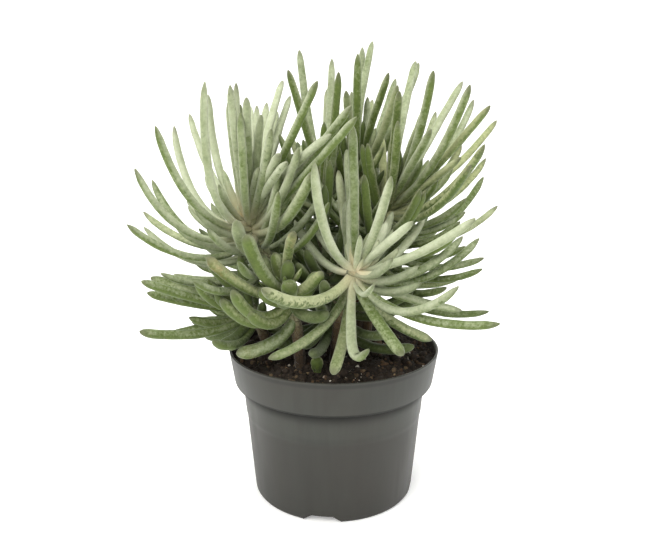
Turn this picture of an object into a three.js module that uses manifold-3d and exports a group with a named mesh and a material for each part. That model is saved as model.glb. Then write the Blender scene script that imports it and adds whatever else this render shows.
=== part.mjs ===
// Silver coral succulent in a grey nursery pot: a low bush of felted finger leaves.
// Millimetres, +Z up. The origin is the middle of the pot's foot, and -Y faces the viewer.
import * as THREE from 'three';
import { mergeVertices } from 'three/addons/utils/BufferGeometryUtils.js';
import Module from 'manifold-3d';

const wasm = await Module();
wasm.setup();

// Pot: a thin moulded shell with a deep collar and a faint shoulder below it.
const RIM_RADIUS = 60;
const POT_HEIGHT = 86;
const WALL = 1.2;
const COLLAR_BOTTOM = 66;
const COLLAR_FOOT_RADIUS = 57;
const COLLAR_LIP = 1.2;
const BODY_TOP_RADIUS = 52.6;
const SHOULDER_RADIUS = 51.2;
const SHOULDER_BOTTOM = 48;
const SHOULDER_STEP = 0.6;
const FOOT_RADIUS = 46.9;
const FOOT_EDGE = 1.6;
const FLOOR_TOP = 1.6;
const RIM_ROUND = 0.4;
const POT_SIDES = 32;

// Drainage: channels under the floor that end as notches in the foot, each with a hole above it.
const CHANNELS = 4;
const FIRST_CHANNEL = 262;
const CHANNEL_WIDTH = 20;
const CHANNEL_ROOF_WIDTH = 12;
const CHANNEL_HEIGHT = 3.8;
const CHANNEL_START = 20;
const DRAIN_RADIUS = 4.5;
const DRAIN_CIRCLE = 31;
const DRAIN_SIDES = 16;

// Soil: one lumpy mass, highest in the middle. It keeps a gap to the pot and to every stem.
const SOIL_TOP = 80.5;
const SOIL_MOUND = 2.5;
const SOIL_RINGS = 4;
const SOIL_SIDES = 24;
const GAP = 0.3;

// Where two surfaces cross, slivers thinner than this are taken up by their neighbours.
const SLIVER = 0.06;

// Stems: round and felted, each standing in a hole, with a small heart where the leaves meet.
const STEM_RADIUS = 3.3;
const STEM_DEPTH = 12;
const STEM_SIDES = 6;
const HOLE_RINGS = [0, 0.25, 0.5, 0.75, 1];
const STEM_RINGS = [0, 0.2, 0.4, 0.6, 0.8, 0.97, 0.99];
const STEM_SHOULDER = 0.98;
const STEM_END_SHARE = 0.7;
const HOLE_REACH = 0.3;
const HEART_RADIUS = 4.6;
const HEART_PLACE = 0.94;

// Finger leaves: slim at the root, fullest past the middle, narrowing to a small tip. The rings are
// places along a leaf, from 0 at the middle of the stem to 1 at the tip. A leaf whose middle hangs
// far below its line has more rings, and a listed leaf has more sides than one that follows the rule.
const LEAF_RADIUS = 2.6;
const ROOT_SHARE = 0.7;
const FULLEST = 0.64;
const TIP_TAPER = 0.95;
const TIP_POWER = 2.1;
const TIP_SHAPE = 0.7;
const LISTED_SIDES = 5;
const RULE_SIDES = 4;
const BENT_RINGS = [0.04, 0.28, 0.52, 0.76, 0.94];
const LONG_RINGS = [0.04, 0.34, 0.66, 0.92];
const SHORT_RINGS = [0.05, 0.5, 0.9];
const BENT_HANG = 11;
const SHORT_LENGTH = 48;
const HOOK_RINGS = [0.04, 0.3, 0.55, 0.68, 0.78, 0.87, 0.96];

// Bend of a leaf: where its two middle control points lie along it, and how far they hang for a sag
// of one. A level leaf sags more than an upright one.
const BEND_PLACES = [0.27, 0.72];
const BEND_HANG = [1.6, 1.1];
const SAG_UPRIGHT = 0.02;
const SAG_LEVEL = 0.18;

// Where a leaf roots: the lower it points, the further down the stem, in millimetres a degree.
const STEEPEST = 85;
const ROOT_SLOPE = 0.21;
const ROOT_DEPTHS = [2, 24];

// Growth: the turn between leaves, the room a leaf keeps to its neighbours, the share of its length
// that may touch its own head, and the points it is tested at. A leaf that presses on its own head
// turns aside only where that gains more than a share of a millimetre for each degree.
const GOLDEN_TURN = 137.508;
const ROOM = 1;
const FIRST_FREE = 0.42;
const SAMPLES = 24;
const TRIED_TURNS = [4, 8, 12, 17];
const TRIED_SCALES = [1, 0.86, 0.72];
const TURN_STRAIN = 0.3;
const FIRST_ROOT = 3;
const HOOK_ROOT = 8;
const LONGEST_REACH = 12;
const LEAFY_LENGTH = 20;

// Each head has a stem from its foot in the soil, past an elbow, to its crown. The leaves that the
// eye knows the plant by are listed as [bearing, rise, length] and, for an odd one, its sag, how far
// down the stem it roots and its girth. A bearing runs from +X towards +Y. The other leaves follow
// the golden turn around the axis. The girth of a head or leaf is 1 where it isn't given.
const HEADS = [
  {
    name: 'front_head',
    foot: [0, -20],
    elbow: [3, -15, 122],
    crown: [11, -38, 140],
    axis: [330, 50],
    rootSlope: 0.1,
    seen: [
      [232, 60, 64, 0.15], [264, 70, 76, 0], [96, 59, 68, 0], [104, 55, 58], [304, 61, 56], [48, 40, 42],
      [313, 38, 48, 0], [31, 29, 52], [326, 27, 72, 0.06], [21, 10, 76], [18, 14, 64], [316, 4, 64, 0.25],
      [4, -19, 62, 0.04], [319, -8, 82, 0.13], [2, -39, 56, 0.1, null, 1.2], [301, -33, 54, 0.03],
      [253, -53, 52, 0.14], [219, -32, 62, 0.16], [227, 3, 62, 0.17, null, 1.35], [132, 24, 52],
      [123, 25, 40, 0.04], [20, 54, 30], [350, 30, 26],
    ],
    hooked: { bearing: 287, rise: -53, length: 41, outward: [-1, -12, -14], hook: [-12, -3, -16] },
    others: { count: 5, spread: 60, shortest: 12, longest: 42, spin: 20, leafy: 8 },
  },
  {
    name: 'left_head',
    foot: [-20, -12],
    elbow: [-26, -12, 132],
    crown: [-48, -13, 162],
    axis: [190, 62],
    seen: [
      [230, 43, 79, 0.17], [146, 44, 76, 0.24], [138, 50, 76, 0.1], [252, 59, 83, 0.26],
      [126, 58, 80, 0.16], [104, 62, 84, 0.21], [277, 54, 80, -0.06], [94, 53, 78, -0.06], [272, 58, 82],
      [82, 57, 80, 0.01], [259, 69, 66, 0.05], [72, 56, 92, -0.04], [69, 51, 88, -0.02], [306, 49, 96, 0],
      [214, 30, 72, 0.22], [158, 22, 70, 0.26], [161, 10, 66], [224, 11, 76], [166, 3, 68, 0.25],
      [286, 49, 44, -0.06], [297, 45, 62, -0.06], [300, 42, 66], [306, 32, 66], [58, 40, 70, 0.04],
      [305, 41, 84, -0.06], [311, 36, 100, 0.01], [307, 41, 96, 0.01], [261, 20, 36, 0.3, null, 1.3],
      [295, 43, 60, -0.06],
    ],
    others: { count: 6, spread: 60, shortest: 20, longest: 50, spin: 70, leafy: 16 },
  },
  {
    name: 'right_head',
    foot: [18, 4],
    elbow: [20, 4, 142],
    crown: [32, 6, 169],
    axis: [5, 62],
    seen: [
      [290, 56, 84], [44, 52, 66], [32, 53, 86, 0.01], [303, 47, 88], [30, 45, 84], [313, 41, 85, 0.03],
      [22, 35, 86, 0.07], [310, 31, 76], [23, 24, 72], [27, 34, 64], [305, 21, 74], [30, 1, 86],
      [37, 12, 84, 0.23], [310, 36, 60, 0.02], [271, 57, 72, -0.06], [66, 62, 90, -0.04],
      [292, 51, 58, 0],
    ],
    others: { count: 14, spread: 74, shortest: 24, longest: 62, spin: 150, leafy: 40 },
  },
  {
    name: 'middle_head',
    foot: [-8, 12],
    elbow: [-8, 13, 150],
    crown: [-5, 16, 175],
    axis: [100, 84],
    seen: [
      [121, 66, 84], [234, 64, 72, 0], [82, 68, 80], [280, 57, 76], [87, 65, 66], [290, 52, 58, -0.03],
    ],
    others: { count: 15, spread: 76, shortest: 26, longest: 66, spin: 30, leafy: 50 },
  },
  {
    name: 'tall_head',
    foot: [8, 26],
    elbow: [9, 26, 156],
    crown: [12, 30, 181],
    axis: [60, 82],
    seen: [
      [271, 62, 76, 0.13], [66, 70, 84, -0.06], [296, 57, 70, 0], [43, 59, 68], [303, 53, 66],
      [78, 74, 80, 0.03], [36, 58, 84], [62, 68, 50, 0.1], [257, 65, 54, 0],
    ],
    others: { count: 14, spread: 76, shortest: 26, longest: 66, spin: 200, leafy: 50 },
  },
  {
    name: 'low_left_shoot',
    foot: [-36, -4],
    elbow: [-38, -8, 106],
    crown: [-52, -13, 118],
    axis: [195, 34],
    girth: 1.12,
    seen: [
      [211, 21, 64, 0.03], [173, 16, 60, 0], [202, 15, 58, 0.03], [221, 3, 68, 0.1], [197, -9, 51, 0],
      [154, -12, 42, 0.02], [237, 42, 44, 0], [225, 30, 40],
    ],
    others: { count: 6, spread: 60, shortest: 18, longest: 44, spin: 10 },
  },
  {
    name: 'low_front_shoot',
    foot: [-18, -24],
    elbow: [-18, -28, 112],
    crown: [-26, -34, 131],
    axis: [240, 58],
    girth: 1.3,
    seen: [
      [232, 50, 44, 0.12, null, 1.12], [288, 62, 36, -0.12], [204, 30, 49, 0.11], [205, 9, 38, 0.3],
      [218, 17, 36, 0.3], [223, 3, 28, 0.3], [325, 35, 26, 0.07], [275, 30, 22, 0],
      [199, -28, 36, 0.17, 26, 1.3],
    ],
    others: { count: 3, spread: 50, shortest: 16, longest: 28, spin: 120 },
  },
  {
    name: 'inner_shoot',
    foot: [2, 2],
    elbow: [1, 1, 108],
    crown: [-4, -8, 132],
    axis: [250, 66],
    girth: 1.15,
    seen: [],
    others: { count: 14, spread: 88, shortest: 22, longest: 50, spin: 60 },
  },
  {
    name: 'back_head',
    foot: [16, 44],
    elbow: [16, 46, 126],
    crown: [18, 64, 150],
    axis: [75, 50],
    seen: [],
    others: { count: 22, spread: 82, shortest: 30, longest: 70, spin: 0 },
  },
  {
    name: 'back_left_head',
    foot: [-26, 28],
    elbow: [-27, 30, 126],
    crown: [-40, 46, 150],
    axis: [135, 52],
    seen: [],
    others: { count: 22, spread: 78, shortest: 30, longest: 66, spin: 90 },
  },
];

// Bud: a young shoot tip that just shows in the soil and leans towards the light.
const BUD = { foot: [-9, -36], depth: 6, height: 14, radius: 4, lean: -4 };
const BUD_RINGS = [0, 0.3, 0.6, 0.8, 0.94];
const BUD_SIDES = 8;

// Ground: the lumps of the soil's surface, as [height, turns along X, turns along Y] in millimetres
// and radians a millimetre, and how near the rim a leaf must clear it.
const BROAD_LUMPS = [0.9, 0.31, 0.27];
const SMALL_LUMPS = [0.6, 0.83, 0.61];
const RIM_INSIDE = 6;
const RIM_OUTSIDE = 5;

const radians = (degrees) => degrees * Math.PI / 180;
const vector = (x, y, z) => new THREE.Vector3(x, y, z);

// A small generator of repeatable random numbers from 0 to 1.
let seed = 20;
function random() {
  seed = (seed * 1664525 + 1013904223) % 4294967296;
  return seed / 4294967296;
}

function direction(bearing, rise) {
  const b = radians(bearing);
  const r = radians(rise);
  return vector(Math.cos(r) * Math.cos(b), Math.cos(r) * Math.sin(b), Math.sin(r));
}

// A closed solid swept along a flat curve: rings of corners, a flat start and a point or dome end.
function sweep(curve, radiusAt, rings, sides) {
  const start = curve.getPoint(rings[0]);
  const end = curve.getPoint(1);
  const bend = vector(0, 0, 0).crossVectors(curve.getPoint(0.5).sub(start), end.clone().sub(start));
  if (bend.length() < 0.001) {
    bend.crossVectors(end.clone().sub(start), vector(0.3, 1, 0.1));
  }
  bend.normalize();
  const positions = [];
  for (const t of rings) {
    const centre = curve.getPoint(t);
    const across = vector(0, 0, 0).crossVectors(bend, curve.getTangent(t)).normalize();
    for (let k = 0; k < sides; k += 1) {
      const turn = 2 * Math.PI * k / sides;
      const corner = centre.clone();
      corner.addScaledVector(across, radiusAt(t) * Math.cos(turn));
      corner.addScaledVector(bend, radiusAt(t) * Math.sin(turn));
      positions.push(corner.x, corner.y, corner.z);
    }
  }
  positions.push(start.x, start.y, start.z, end.x, end.y, end.z);
  const startCorner = rings.length * sides;
  const faces = [];
  for (let k = 0; k < sides; k += 1) {
    const next = (k + 1) % sides;
    for (let ring = 0; ring < rings.length - 1; ring += 1) {
      const here = ring * sides;
      const there = here + sides;
      faces.push(here + k, here + next, there + next, here + k, there + next, there + k);
    }
    const last = (rings.length - 1) * sides;
    faces.push(startCorner, next, k);
    faces.push(startCorner + 1, last + k, last + next);
  }
  const geometry = new THREE.BufferGeometry();
  geometry.setAttribute('position', new THREE.Float32BufferAttribute(positions, 3));
  geometry.setIndex(faces);
  return geometry;
}

// Closed three.js geometry to an exact solid, and back.
function solidOf(geometry) {
  const bare = geometry.clone();
  bare.deleteAttribute('normal');
  bare.deleteAttribute('uv');
  const merged = mergeVertices(bare, 1e-4);
  return new wasm.Manifold(new wasm.Mesh({
    numProp: 3,
    vertProperties: new Float32Array(merged.attributes.position.array),
    triVerts: new Uint32Array(merged.index.array),
  }));
}

function geometryOf(solid) {
  const shells = solid.simplify(SLIVER).decompose().sort((a, b) => b.volume() - a.volume());
  const mesh = shells[0].getMesh();
  const geometry = new THREE.BufferGeometry();
  geometry.setAttribute('position', new THREE.BufferAttribute(mesh.vertProperties, 3));
  geometry.setIndex(new THREE.BufferAttribute(mesh.triVerts, 1));
  geometry.computeVertexNormals();
  return geometry;
}

// Thickness along a finger leaf, as a share of its fullest.
function fingerShare(t) {
  const body = ROOT_SHARE + (1 - ROOT_SHARE) * Math.sin(Math.min(t / FULLEST, 1) * Math.PI / 2);
  const taper = Math.max((t - FULLEST) / (1 - FULLEST), 0);
  return body * (1 - TIP_TAPER * taper ** TIP_POWER) ** TIP_SHAPE;
}

const leafRadius = (girth) => (t) => LEAF_RADIUS * girth * fingerShare(t);
const stemRadius = (t) => STEM_RADIUS * (t > STEM_SHOULDER ? STEM_END_SHARE : 1);

// A leaf leaves its stem low and bends up: its middle hangs below the line from root to tip.
function leafCurve(root, heading, length, sag) {
  const up = vector(0, 0, 1).addScaledVector(heading, -heading.z).normalize();
  const [first, second] = BEND_PLACES.map((place, k) => root.clone()
    .addScaledVector(heading, place * length)
    .addScaledVector(up, -BEND_HANG[k] * sag * length));
  const tip = root.clone().addScaledVector(heading, length);
  return new THREE.CubicBezierCurve3(root, first, second, tip);
}

// The hooked leaf hangs down from its root and turns back up at its tip.
function hookedCurve(root, { bearing, rise, length, outward, hook }) {
  const tip = root.clone().addScaledVector(direction(bearing, rise), length);
  const first = root.clone().add(vector(...outward));
  const second = tip.clone().add(vector(...hook));
  return new THREE.CubicBezierCurve3(root, first, second, tip);
}

function stemCurve({ foot: [x, y], elbow, crown }) {
  const foot = vector(x, y, SOIL_TOP - STEM_DEPTH);
  return new THREE.QuadraticBezierCurve3(foot, vector(...elbow), vector(...crown));
}

// The place on a head's stem that lies a length down from its crown.
function rootOf(head, down) {
  const stem = stemCurve(head);
  const reach = stem.v0.distanceTo(stem.v1) + stem.v1.distanceTo(stem.v2);
  return stem.getPoint(1 - down / reach);
}

function soilHeight(x, y) {
  const out = Math.hypot(x, y) / RIM_RADIUS;
  const [broad, broadX, broadY] = BROAD_LUMPS;
  const [small, smallX, smallY] = SMALL_LUMPS;
  const broadLumps = broad * Math.sin(x * broadX + 1) * Math.cos(y * broadY);
  const smallLumps = small * Math.sin(x * smallX + y * smallY);
  return SOIL_TOP + SOIL_MOUND * (1 - out * out) + broadLumps + smallLumps;
}

// What a leaf must stay above: the soil inside the pot, and the rim around it.
function groundAt(x, y) {
  const out = Math.hypot(x, y);
  if (out > RIM_RADIUS + RIM_OUTSIDE) {
    return -Infinity;
  }
  return out > RIM_RADIUS - RIM_INSIDE ? POT_HEIGHT : soilHeight(x, y);
}

function samplesOf(curve, radiusAt, head, kind) {
  const points = [];
  for (let k = 0; k <= SAMPLES; k += 1) {
    const t = k / SAMPLES;
    const p = curve.getPoint(t);
    points.push({ x: p.x, y: p.y, z: p.z, r: radiusAt(t), t, head, kind });
  }
  return points;
}

// How far a leaf would reach into what has grown near it: into other heads, and into its own.
const grown = [];
function crowding(points, head, near) {
  let others = -Infinity;
  let own = -Infinity;
  for (const p of points) {
    others = Math.max(others, groundAt(p.x, p.y) + p.r + ROOM - p.z);
    for (const q of near) {
      const reach = p.r + q.r + ROOM - Math.hypot(p.x - q.x, p.y - q.y, p.z - q.z);
      if (q.head !== head) {
        others = Math.max(others, reach);
      } else if (p.t > FIRST_FREE && (q.t > FIRST_FREE || q.kind === 'stem')) {
        own = Math.max(own, reach);
      }
    }
  }
  return { others, own };
}

// Turns a leaf tries, the smallest first, until it finds room.
const TURNS = [[0, 0]];
for (const turn of TRIED_TURNS) {
  TURNS.push([turn, 0], [-turn, 0], [0, turn], [0, -turn]);
  TURNS.push([turn, turn], [-turn, turn], [turn, -turn], [-turn, -turn]);
}

function growLeaf(head, [bearing, rise, length, sag, down, girth], sides) {
  const depth = (STEEPEST - rise) * (head.rootSlope ?? ROOT_SLOPE);
  const root = rootOf(head, down ?? Math.min(Math.max(depth, ROOT_DEPTHS[0]), ROOT_DEPTHS[1]));
  const radiusAt = leafRadius((head.girth ?? 1) * (girth ?? 1));
  const near = grown.filter((point) => root.distanceTo(point) < length + LONGEST_REACH);
  let best = null;
  for (const scale of TRIED_SCALES) {
    for (const [side, lift] of TURNS) {
      const level = Math.cos(radians(rise + lift)) ** 2;
      const hang = sag ?? SAG_UPRIGHT + (SAG_LEVEL - SAG_UPRIGHT) * level;
      const curve = leafCurve(root, direction(bearing + side, rise + lift), length * scale, hang);
      const points = samplesOf(curve, radiusAt, head.name, 'leaf');
      const { others, own } = crowding(points, head.name, near);
      const turned = TURN_STRAIN * (Math.abs(side) + Math.abs(lift));
      const strain = Math.max(own, 0) + turned;
      if (others <= 0 && (best === null || strain < best.strain)) {
        best = { curve, points, strain, hang: hang * length * scale };
      }
      if (best !== null && turned >= best.strain) {
        break;
      }
    }
    if (best !== null) {
      break;
    }
  }
  if (best === null) {
    return null;
  }
  grown.push(...best.points);
  const straightRings = length < SHORT_LENGTH ? SHORT_RINGS : LONG_RINGS;
  const rings = best.hang > BENT_HANG ? BENT_RINGS : straightRings;
  return Object.assign(best.curve, { radiusAt, rings, sides });
}

// The leaves that follow the rule: a golden turn apart, the oldest lowest, longest and most spread.
function ruleLeaves({ axis: [axisBearing, axisRise], others }) {
  const { count, spread, shortest, longest, spin, leafy = LEAFY_LENGTH } = others;
  const axis = direction(axisBearing, axisRise);
  const side = vector(0, 0, 1).cross(axis).normalize();
  const over = axis.clone().cross(side);
  const leaves = [];
  for (let k = 0; k < count; k += 1) {
    const age = Math.sqrt((k + 0.5) / count);
    const turn = radians(k * GOLDEN_TURN + spin);
    const open = radians(spread * age * (0.94 + 0.12 * random()));
    const way = axis.clone().multiplyScalar(Math.cos(open));
    way.addScaledVector(side, Math.sin(open) * Math.cos(turn));
    way.addScaledVector(over, Math.sin(open) * Math.sin(turn));
    const length = (shortest + (longest - shortest) * age) * (0.92 + 0.16 * random());
    const bearing = Math.atan2(way.y, way.x) * 180 / Math.PI;
    const rise = Math.asin(way.z) * 180 / Math.PI;
    leaves.push([bearing, rise, length, undefined, FIRST_ROOT + leafy * age ** 2]);
  }
  return leaves;
}

function growPlant() {
  const plant = new Map();
  for (const head of HEADS) {
    const stem = stemCurve(head);
    plant.set(head.name, { stem, leaves: [] });
    grown.push(...samplesOf(stem, () => STEM_RADIUS, head.name, 'stem'));
    const heart = stem.getPoint(HEART_PLACE);
    const { x, y, z } = heart;
    grown.push({ x, y, z, r: HEART_RADIUS, t: 1, head: head.name, kind: 'stem' });
  }
  for (const head of HEADS) {
    const { leaves } = plant.get(head.name);
    if (head.hooked) {
      const curve = hookedCurve(rootOf(head, HOOK_ROOT), head.hooked);
      const radiusAt = leafRadius(1);
      grown.push(...samplesOf(curve, radiusAt, head.name, 'leaf'));
      leaves.push(Object.assign(curve, { radiusAt, rings: HOOK_RINGS, sides: LISTED_SIDES }));
    }
    leaves.push(...head.seen.map((leaf) => growLeaf(head, leaf, LISTED_SIDES)));
  }
  for (const head of HEADS) {
    const others = ruleLeaves(head).map((leaf) => growLeaf(head, leaf, RULE_SIDES));
    plant.get(head.name).leaves.push(...others);
  }
  return plant;
}

// One node for a stem with its leaves: the leaf roots are sunk to the middle of the stem.
function headSolid({ stem, leaves }) {
  const heart = new THREE.SphereGeometry(HEART_RADIUS, 8, 5);
  heart.translate(...stem.getPoint(HEART_PLACE).toArray());
  let solid = solidOf(sweep(stem, stemRadius, STEM_RINGS, STEM_SIDES)).add(solidOf(heart));
  for (const leaf of leaves.filter(Boolean)) {
    solid = solid.add(solidOf(sweep(leaf, leaf.radiusAt, leaf.rings, leaf.sides)));
  }
  return solid;
}

function lathe(points, sides) {
  const outline = points.map(([r, z]) => new THREE.Vector2(r, z));
  return new THREE.LatheGeometry(outline, sides).rotateX(Math.PI / 2);
}

// The pot's wall from the floor to the rim: its inner side, moved inwards by an inset.
function innerWall(inset) {
  return [
    [FOOT_RADIUS - WALL - inset, FOOT_EDGE + WALL],
    [SHOULDER_RADIUS - SHOULDER_STEP - WALL - inset, SHOULDER_BOTTOM],
    [BODY_TOP_RADIUS - WALL - inset, COLLAR_BOTTOM - SHOULDER_STEP],
    [COLLAR_FOOT_RADIUS - WALL - inset, COLLAR_BOTTOM + COLLAR_LIP],
    [RIM_RADIUS - WALL - inset, POT_HEIGHT],
  ];
}

function potGeometry() {
  const outside = [
    [0, 0],
    [FOOT_RADIUS - FOOT_EDGE, 0],
    [FOOT_RADIUS, FOOT_EDGE],
    [SHOULDER_RADIUS - SHOULDER_STEP, SHOULDER_BOTTOM],
    [SHOULDER_RADIUS, SHOULDER_BOTTOM + SHOULDER_STEP],
    [BODY_TOP_RADIUS, COLLAR_BOTTOM - 1],
    [COLLAR_FOOT_RADIUS - 1, COLLAR_BOTTOM],
    [COLLAR_FOOT_RADIUS, COLLAR_BOTTOM + COLLAR_LIP],
    [RIM_RADIUS, POT_HEIGHT - RIM_ROUND],
    [RIM_RADIUS - RIM_ROUND, POT_HEIGHT],
  ];
  const inside = [...innerWall(0).reverse(), [FOOT_RADIUS - WALL - 1, FLOOR_TOP], [0, FLOOR_TOP]];
  let pot = solidOf(lathe([...outside, ...inside], POT_SIDES));
  for (let k = 0; k < CHANNELS; k += 1) {
    const turn = radians(FIRST_CHANNEL + k * 360 / CHANNELS);
    pot = pot.add(channel(WALL, FOOT_RADIUS - 1, turn)).subtract(channel(0, FOOT_RADIUS + 5, turn));
    const drain = new THREE.CylinderGeometry(DRAIN_RADIUS, DRAIN_RADIUS, 20, DRAIN_SIDES);
    drain.rotateX(Math.PI / 2).translate(DRAIN_CIRCLE * Math.cos(turn), DRAIN_CIRCLE * Math.sin(turn), 0);
    pot = pot.subtract(solidOf(drain));
  }
  return geometryOf(pot);
}

// A channel's outline across, grown by a thickness, and run outwards along its bearing.
function channel(thickness, end, turn) {
  const low = CHANNEL_WIDTH / 2 + thickness;
  const high = CHANNEL_ROOF_WIDTH / 2 + thickness;
  const base = thickness > 0 ? 0.2 : -1;
  const outline = new THREE.Shape();
  outline.moveTo(-low, base);
  outline.lineTo(low, base);
  outline.lineTo(high, CHANNEL_HEIGHT + thickness);
  outline.lineTo(-high, CHANNEL_HEIGHT + thickness);
  outline.closePath();
  const start = CHANNEL_START - thickness;
  const bar = new THREE.ExtrudeGeometry(outline, { depth: end - start, bevelEnabled: false });
  bar.translate(0, 0, start);
  bar.applyMatrix4(new THREE.Matrix4().makeBasis(vector(0, 1, 0), vector(0, 0, 1), vector(1, 0, 0)));
  bar.rotateZ(turn);
  return solidOf(bar);
}

function soilGeometry(plant) {
  const floor = CHANNEL_HEIGHT + WALL + GAP;
  const wall = innerWall(2 * GAP);
  const [[lowRadius, lowHeight], [edgeRadius, edgeHeight]] = wall.slice(-2);
  const climb = (SOIL_TOP - lowHeight) / (edgeHeight - lowHeight);
  const edge = lowRadius + (edgeRadius - lowRadius) * climb;
  const profile = [[0, floor], [wall[0][0], floor], ...wall.slice(1, -1)];
  for (let ring = 0; ring <= SOIL_RINGS; ring += 1) {
    profile.push([edge * (1 - ring / SOIL_RINGS), SOIL_TOP]);
  }
  const body = lathe(profile, SOIL_SIDES);
  const corners = body.attributes.position;
  for (let k = 0; k < corners.count; k += 1) {
    const [x, y, z] = [corners.getX(k), corners.getY(k), corners.getZ(k)];
    if (z > SOIL_TOP - 0.1) {
      corners.setZ(k, soilHeight(x, y));
    }
  }
  let soil = solidOf(body);
  for (const { stem } of plant.values()) {
    soil = soil.subtract(solidOf(stemHole(stem)));
  }
  return geometryOf(soil.subtract(solidOf(budGeometry(GAP))));
}

// A plain hole around a stem, as deep as the stem and a gap more.
function stemHole(stem) {
  const foot = stem.getPoint(0);
  const away = stem.getTangent(0).multiplyScalar(-GAP);
  const middle = stem.getPoint(HOLE_REACH / 2);
  const hole = new THREE.QuadraticBezierCurve3(foot.add(away), middle, stem.getPoint(HOLE_REACH));
  return sweep(hole, () => STEM_RADIUS + 1.5 * GAP, HOLE_RINGS, STEM_SIDES);
}

// The bud, or its hole when it is grown by a gap.
function budGeometry(gap) {
  const [x, y] = BUD.foot;
  const low = soilHeight(x, y) - BUD.depth;
  const foot = vector(x, y, low - gap);
  const tip = vector(x, y + BUD.lean, low + BUD.height + gap);
  const curve = new THREE.QuadraticBezierCurve3(foot, vector(x, y, low + BUD.depth), tip);
  return sweep(curve, (t) => gap + BUD.radius * fingerShare(t), BUD_RINGS, BUD_SIDES);
}

const plastic = new THREE.MeshStandardMaterial({ color: 0x5f615a, roughness: 0.55, metalness: 0 });
const earth = new THREE.MeshStandardMaterial({ color: 0x2b1f18, roughness: 0.95, metalness: 0 });
const felt = new THREE.MeshStandardMaterial({ color: 0xaab392, roughness: 0.85, metalness: 0 });
const green = new THREE.MeshStandardMaterial({ color: 0x6c8450, roughness: 0.8, metalness: 0 });

function named(name, geometry, material) {
  const mesh = new THREE.Mesh(geometry, material);
  mesh.name = name;
  return mesh;
}

const plant = growPlant();
const part = new THREE.Group();
part.add(named('pot', potGeometry(), plastic));
part.add(named('soil', soilGeometry(plant), earth));
part.add(named('bud', geometryOf(solidOf(budGeometry(0))), green));
for (const [name, growth] of plant) {
  part.add(named(name, geometryOf(headSolid(growth)), felt));
}

export default part;
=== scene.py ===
# %% [markdown]
# # A potted silver coral succulent
# The real object is a bushy succulent in a round grey nursery pot. Its leaves are long fingers with
# a coat of white felt, and they fan out from the tops of several short stems. The solid model is
# loaded first as the frame: it gives the true sizes, and the finer pieces made here replace its
# nodes. The frame is in metres, and the sizes below are in millimetres, so MM turns them.

import math
import random

import bpy
import bmesh
import numpy as np
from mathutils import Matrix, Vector


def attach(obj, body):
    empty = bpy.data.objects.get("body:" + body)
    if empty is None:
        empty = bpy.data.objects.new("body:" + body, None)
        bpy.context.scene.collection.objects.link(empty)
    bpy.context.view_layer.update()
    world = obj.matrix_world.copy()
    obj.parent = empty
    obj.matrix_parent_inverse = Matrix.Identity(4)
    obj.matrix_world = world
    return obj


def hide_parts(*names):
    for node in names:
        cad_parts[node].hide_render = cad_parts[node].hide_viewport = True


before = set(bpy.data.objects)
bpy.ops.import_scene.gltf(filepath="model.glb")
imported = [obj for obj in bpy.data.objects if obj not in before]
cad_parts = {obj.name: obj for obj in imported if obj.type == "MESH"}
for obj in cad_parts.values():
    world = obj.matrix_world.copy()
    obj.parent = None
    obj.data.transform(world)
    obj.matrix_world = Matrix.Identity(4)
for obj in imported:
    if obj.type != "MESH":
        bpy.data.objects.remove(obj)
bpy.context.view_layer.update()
MM = 0.001
print("nodes in the frame:", sorted(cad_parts))

# %% [markdown]
# ## The camera
# A photograph has one viewing point, and a model can only be compared with it from there. The rim,
# the collar and the foot of the pot are circles of known size, and their ellipses in the picture
# fix the camera: a little above the plant, looking down by about 14 degrees.

# %% The camera
CAMERA_PLACE = (-2.7, -371.5, 214.8)
CAMERA_PITCH = 13.6
FOCAL_PIXELS = 675
IMAGE_WIDTH = 658
SENSOR = 36

camera_data = bpy.data.cameras.new("camera")
camera_data.sensor_width = SENSOR
camera_data.lens = SENSOR * FOCAL_PIXELS / IMAGE_WIDTH
camera = bpy.data.objects.new("camera", camera_data)
camera.location = Vector(CAMERA_PLACE) * MM
camera.rotation_euler = (math.radians(90 - CAMERA_PITCH), 0, 0)
bpy.context.scene.collection.objects.link(camera)
bpy.context.scene.camera = camera
print("lens in millimetres:", round(camera_data.lens, 2))

# %% [markdown]
# ## Helpers for meshes
# Every piece ends as a plain mesh at the origin. One helper makes an object from points and faces.
# Another lets Geometry Nodes or a Boolean work on an object, takes the result as a plain mesh and
# drops the modifier, because an export keeps neither instances nor live node trees.

# %% Helpers for meshes
def new_object(name, data):
    """An object of the scene, at the origin, that shows a mesh or a light."""
    thing = bpy.data.objects.new(name, data)
    bpy.context.scene.collection.objects.link(thing)
    return thing


def mesh_object(name, points, faces=(), edges=()):
    """An object at the origin with the given points, in metres."""
    mesh = bpy.data.meshes.new(name)
    mesh.from_pydata([tuple(p) for p in points], edges, faces)
    mesh.update()
    return new_object(name, mesh)


def store(thing, name, values, kind="FLOAT"):
    """Keeps one value for each point of a mesh, for the node trees and materials to read."""
    attribute = thing.data.attributes.new(name, kind, "POINT")
    if kind == "FLOAT_VECTOR":
        attribute.data.foreach_set("vector", np.asarray(values, dtype=float).ravel())
    else:
        attribute.data.foreach_set("value", values)


def apply_modifiers(thing):
    """Keeps what the modifiers of an object make as its plain mesh, and removes them."""
    evaluated = thing.evaluated_get(bpy.context.evaluated_depsgraph_get())
    result = bpy.data.meshes.new_from_object(evaluated)
    thing.modifiers.clear()
    thing.data = result


def grow(thing, tree, **inputs):
    """Runs a node tree on an object with the named inputs, and keeps the result as its mesh."""
    modifier = thing.modifiers.new(tree.name, "NODES")
    modifier.node_group = tree
    sockets = {s.name: s.identifier for s in tree.interface.items_tree if s.in_out == "INPUT"}
    for name, value in inputs.items():
        modifier[sockets[name.replace("_", " ").capitalize()]] = value
    apply_modifiers(thing)
    return thing


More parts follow.
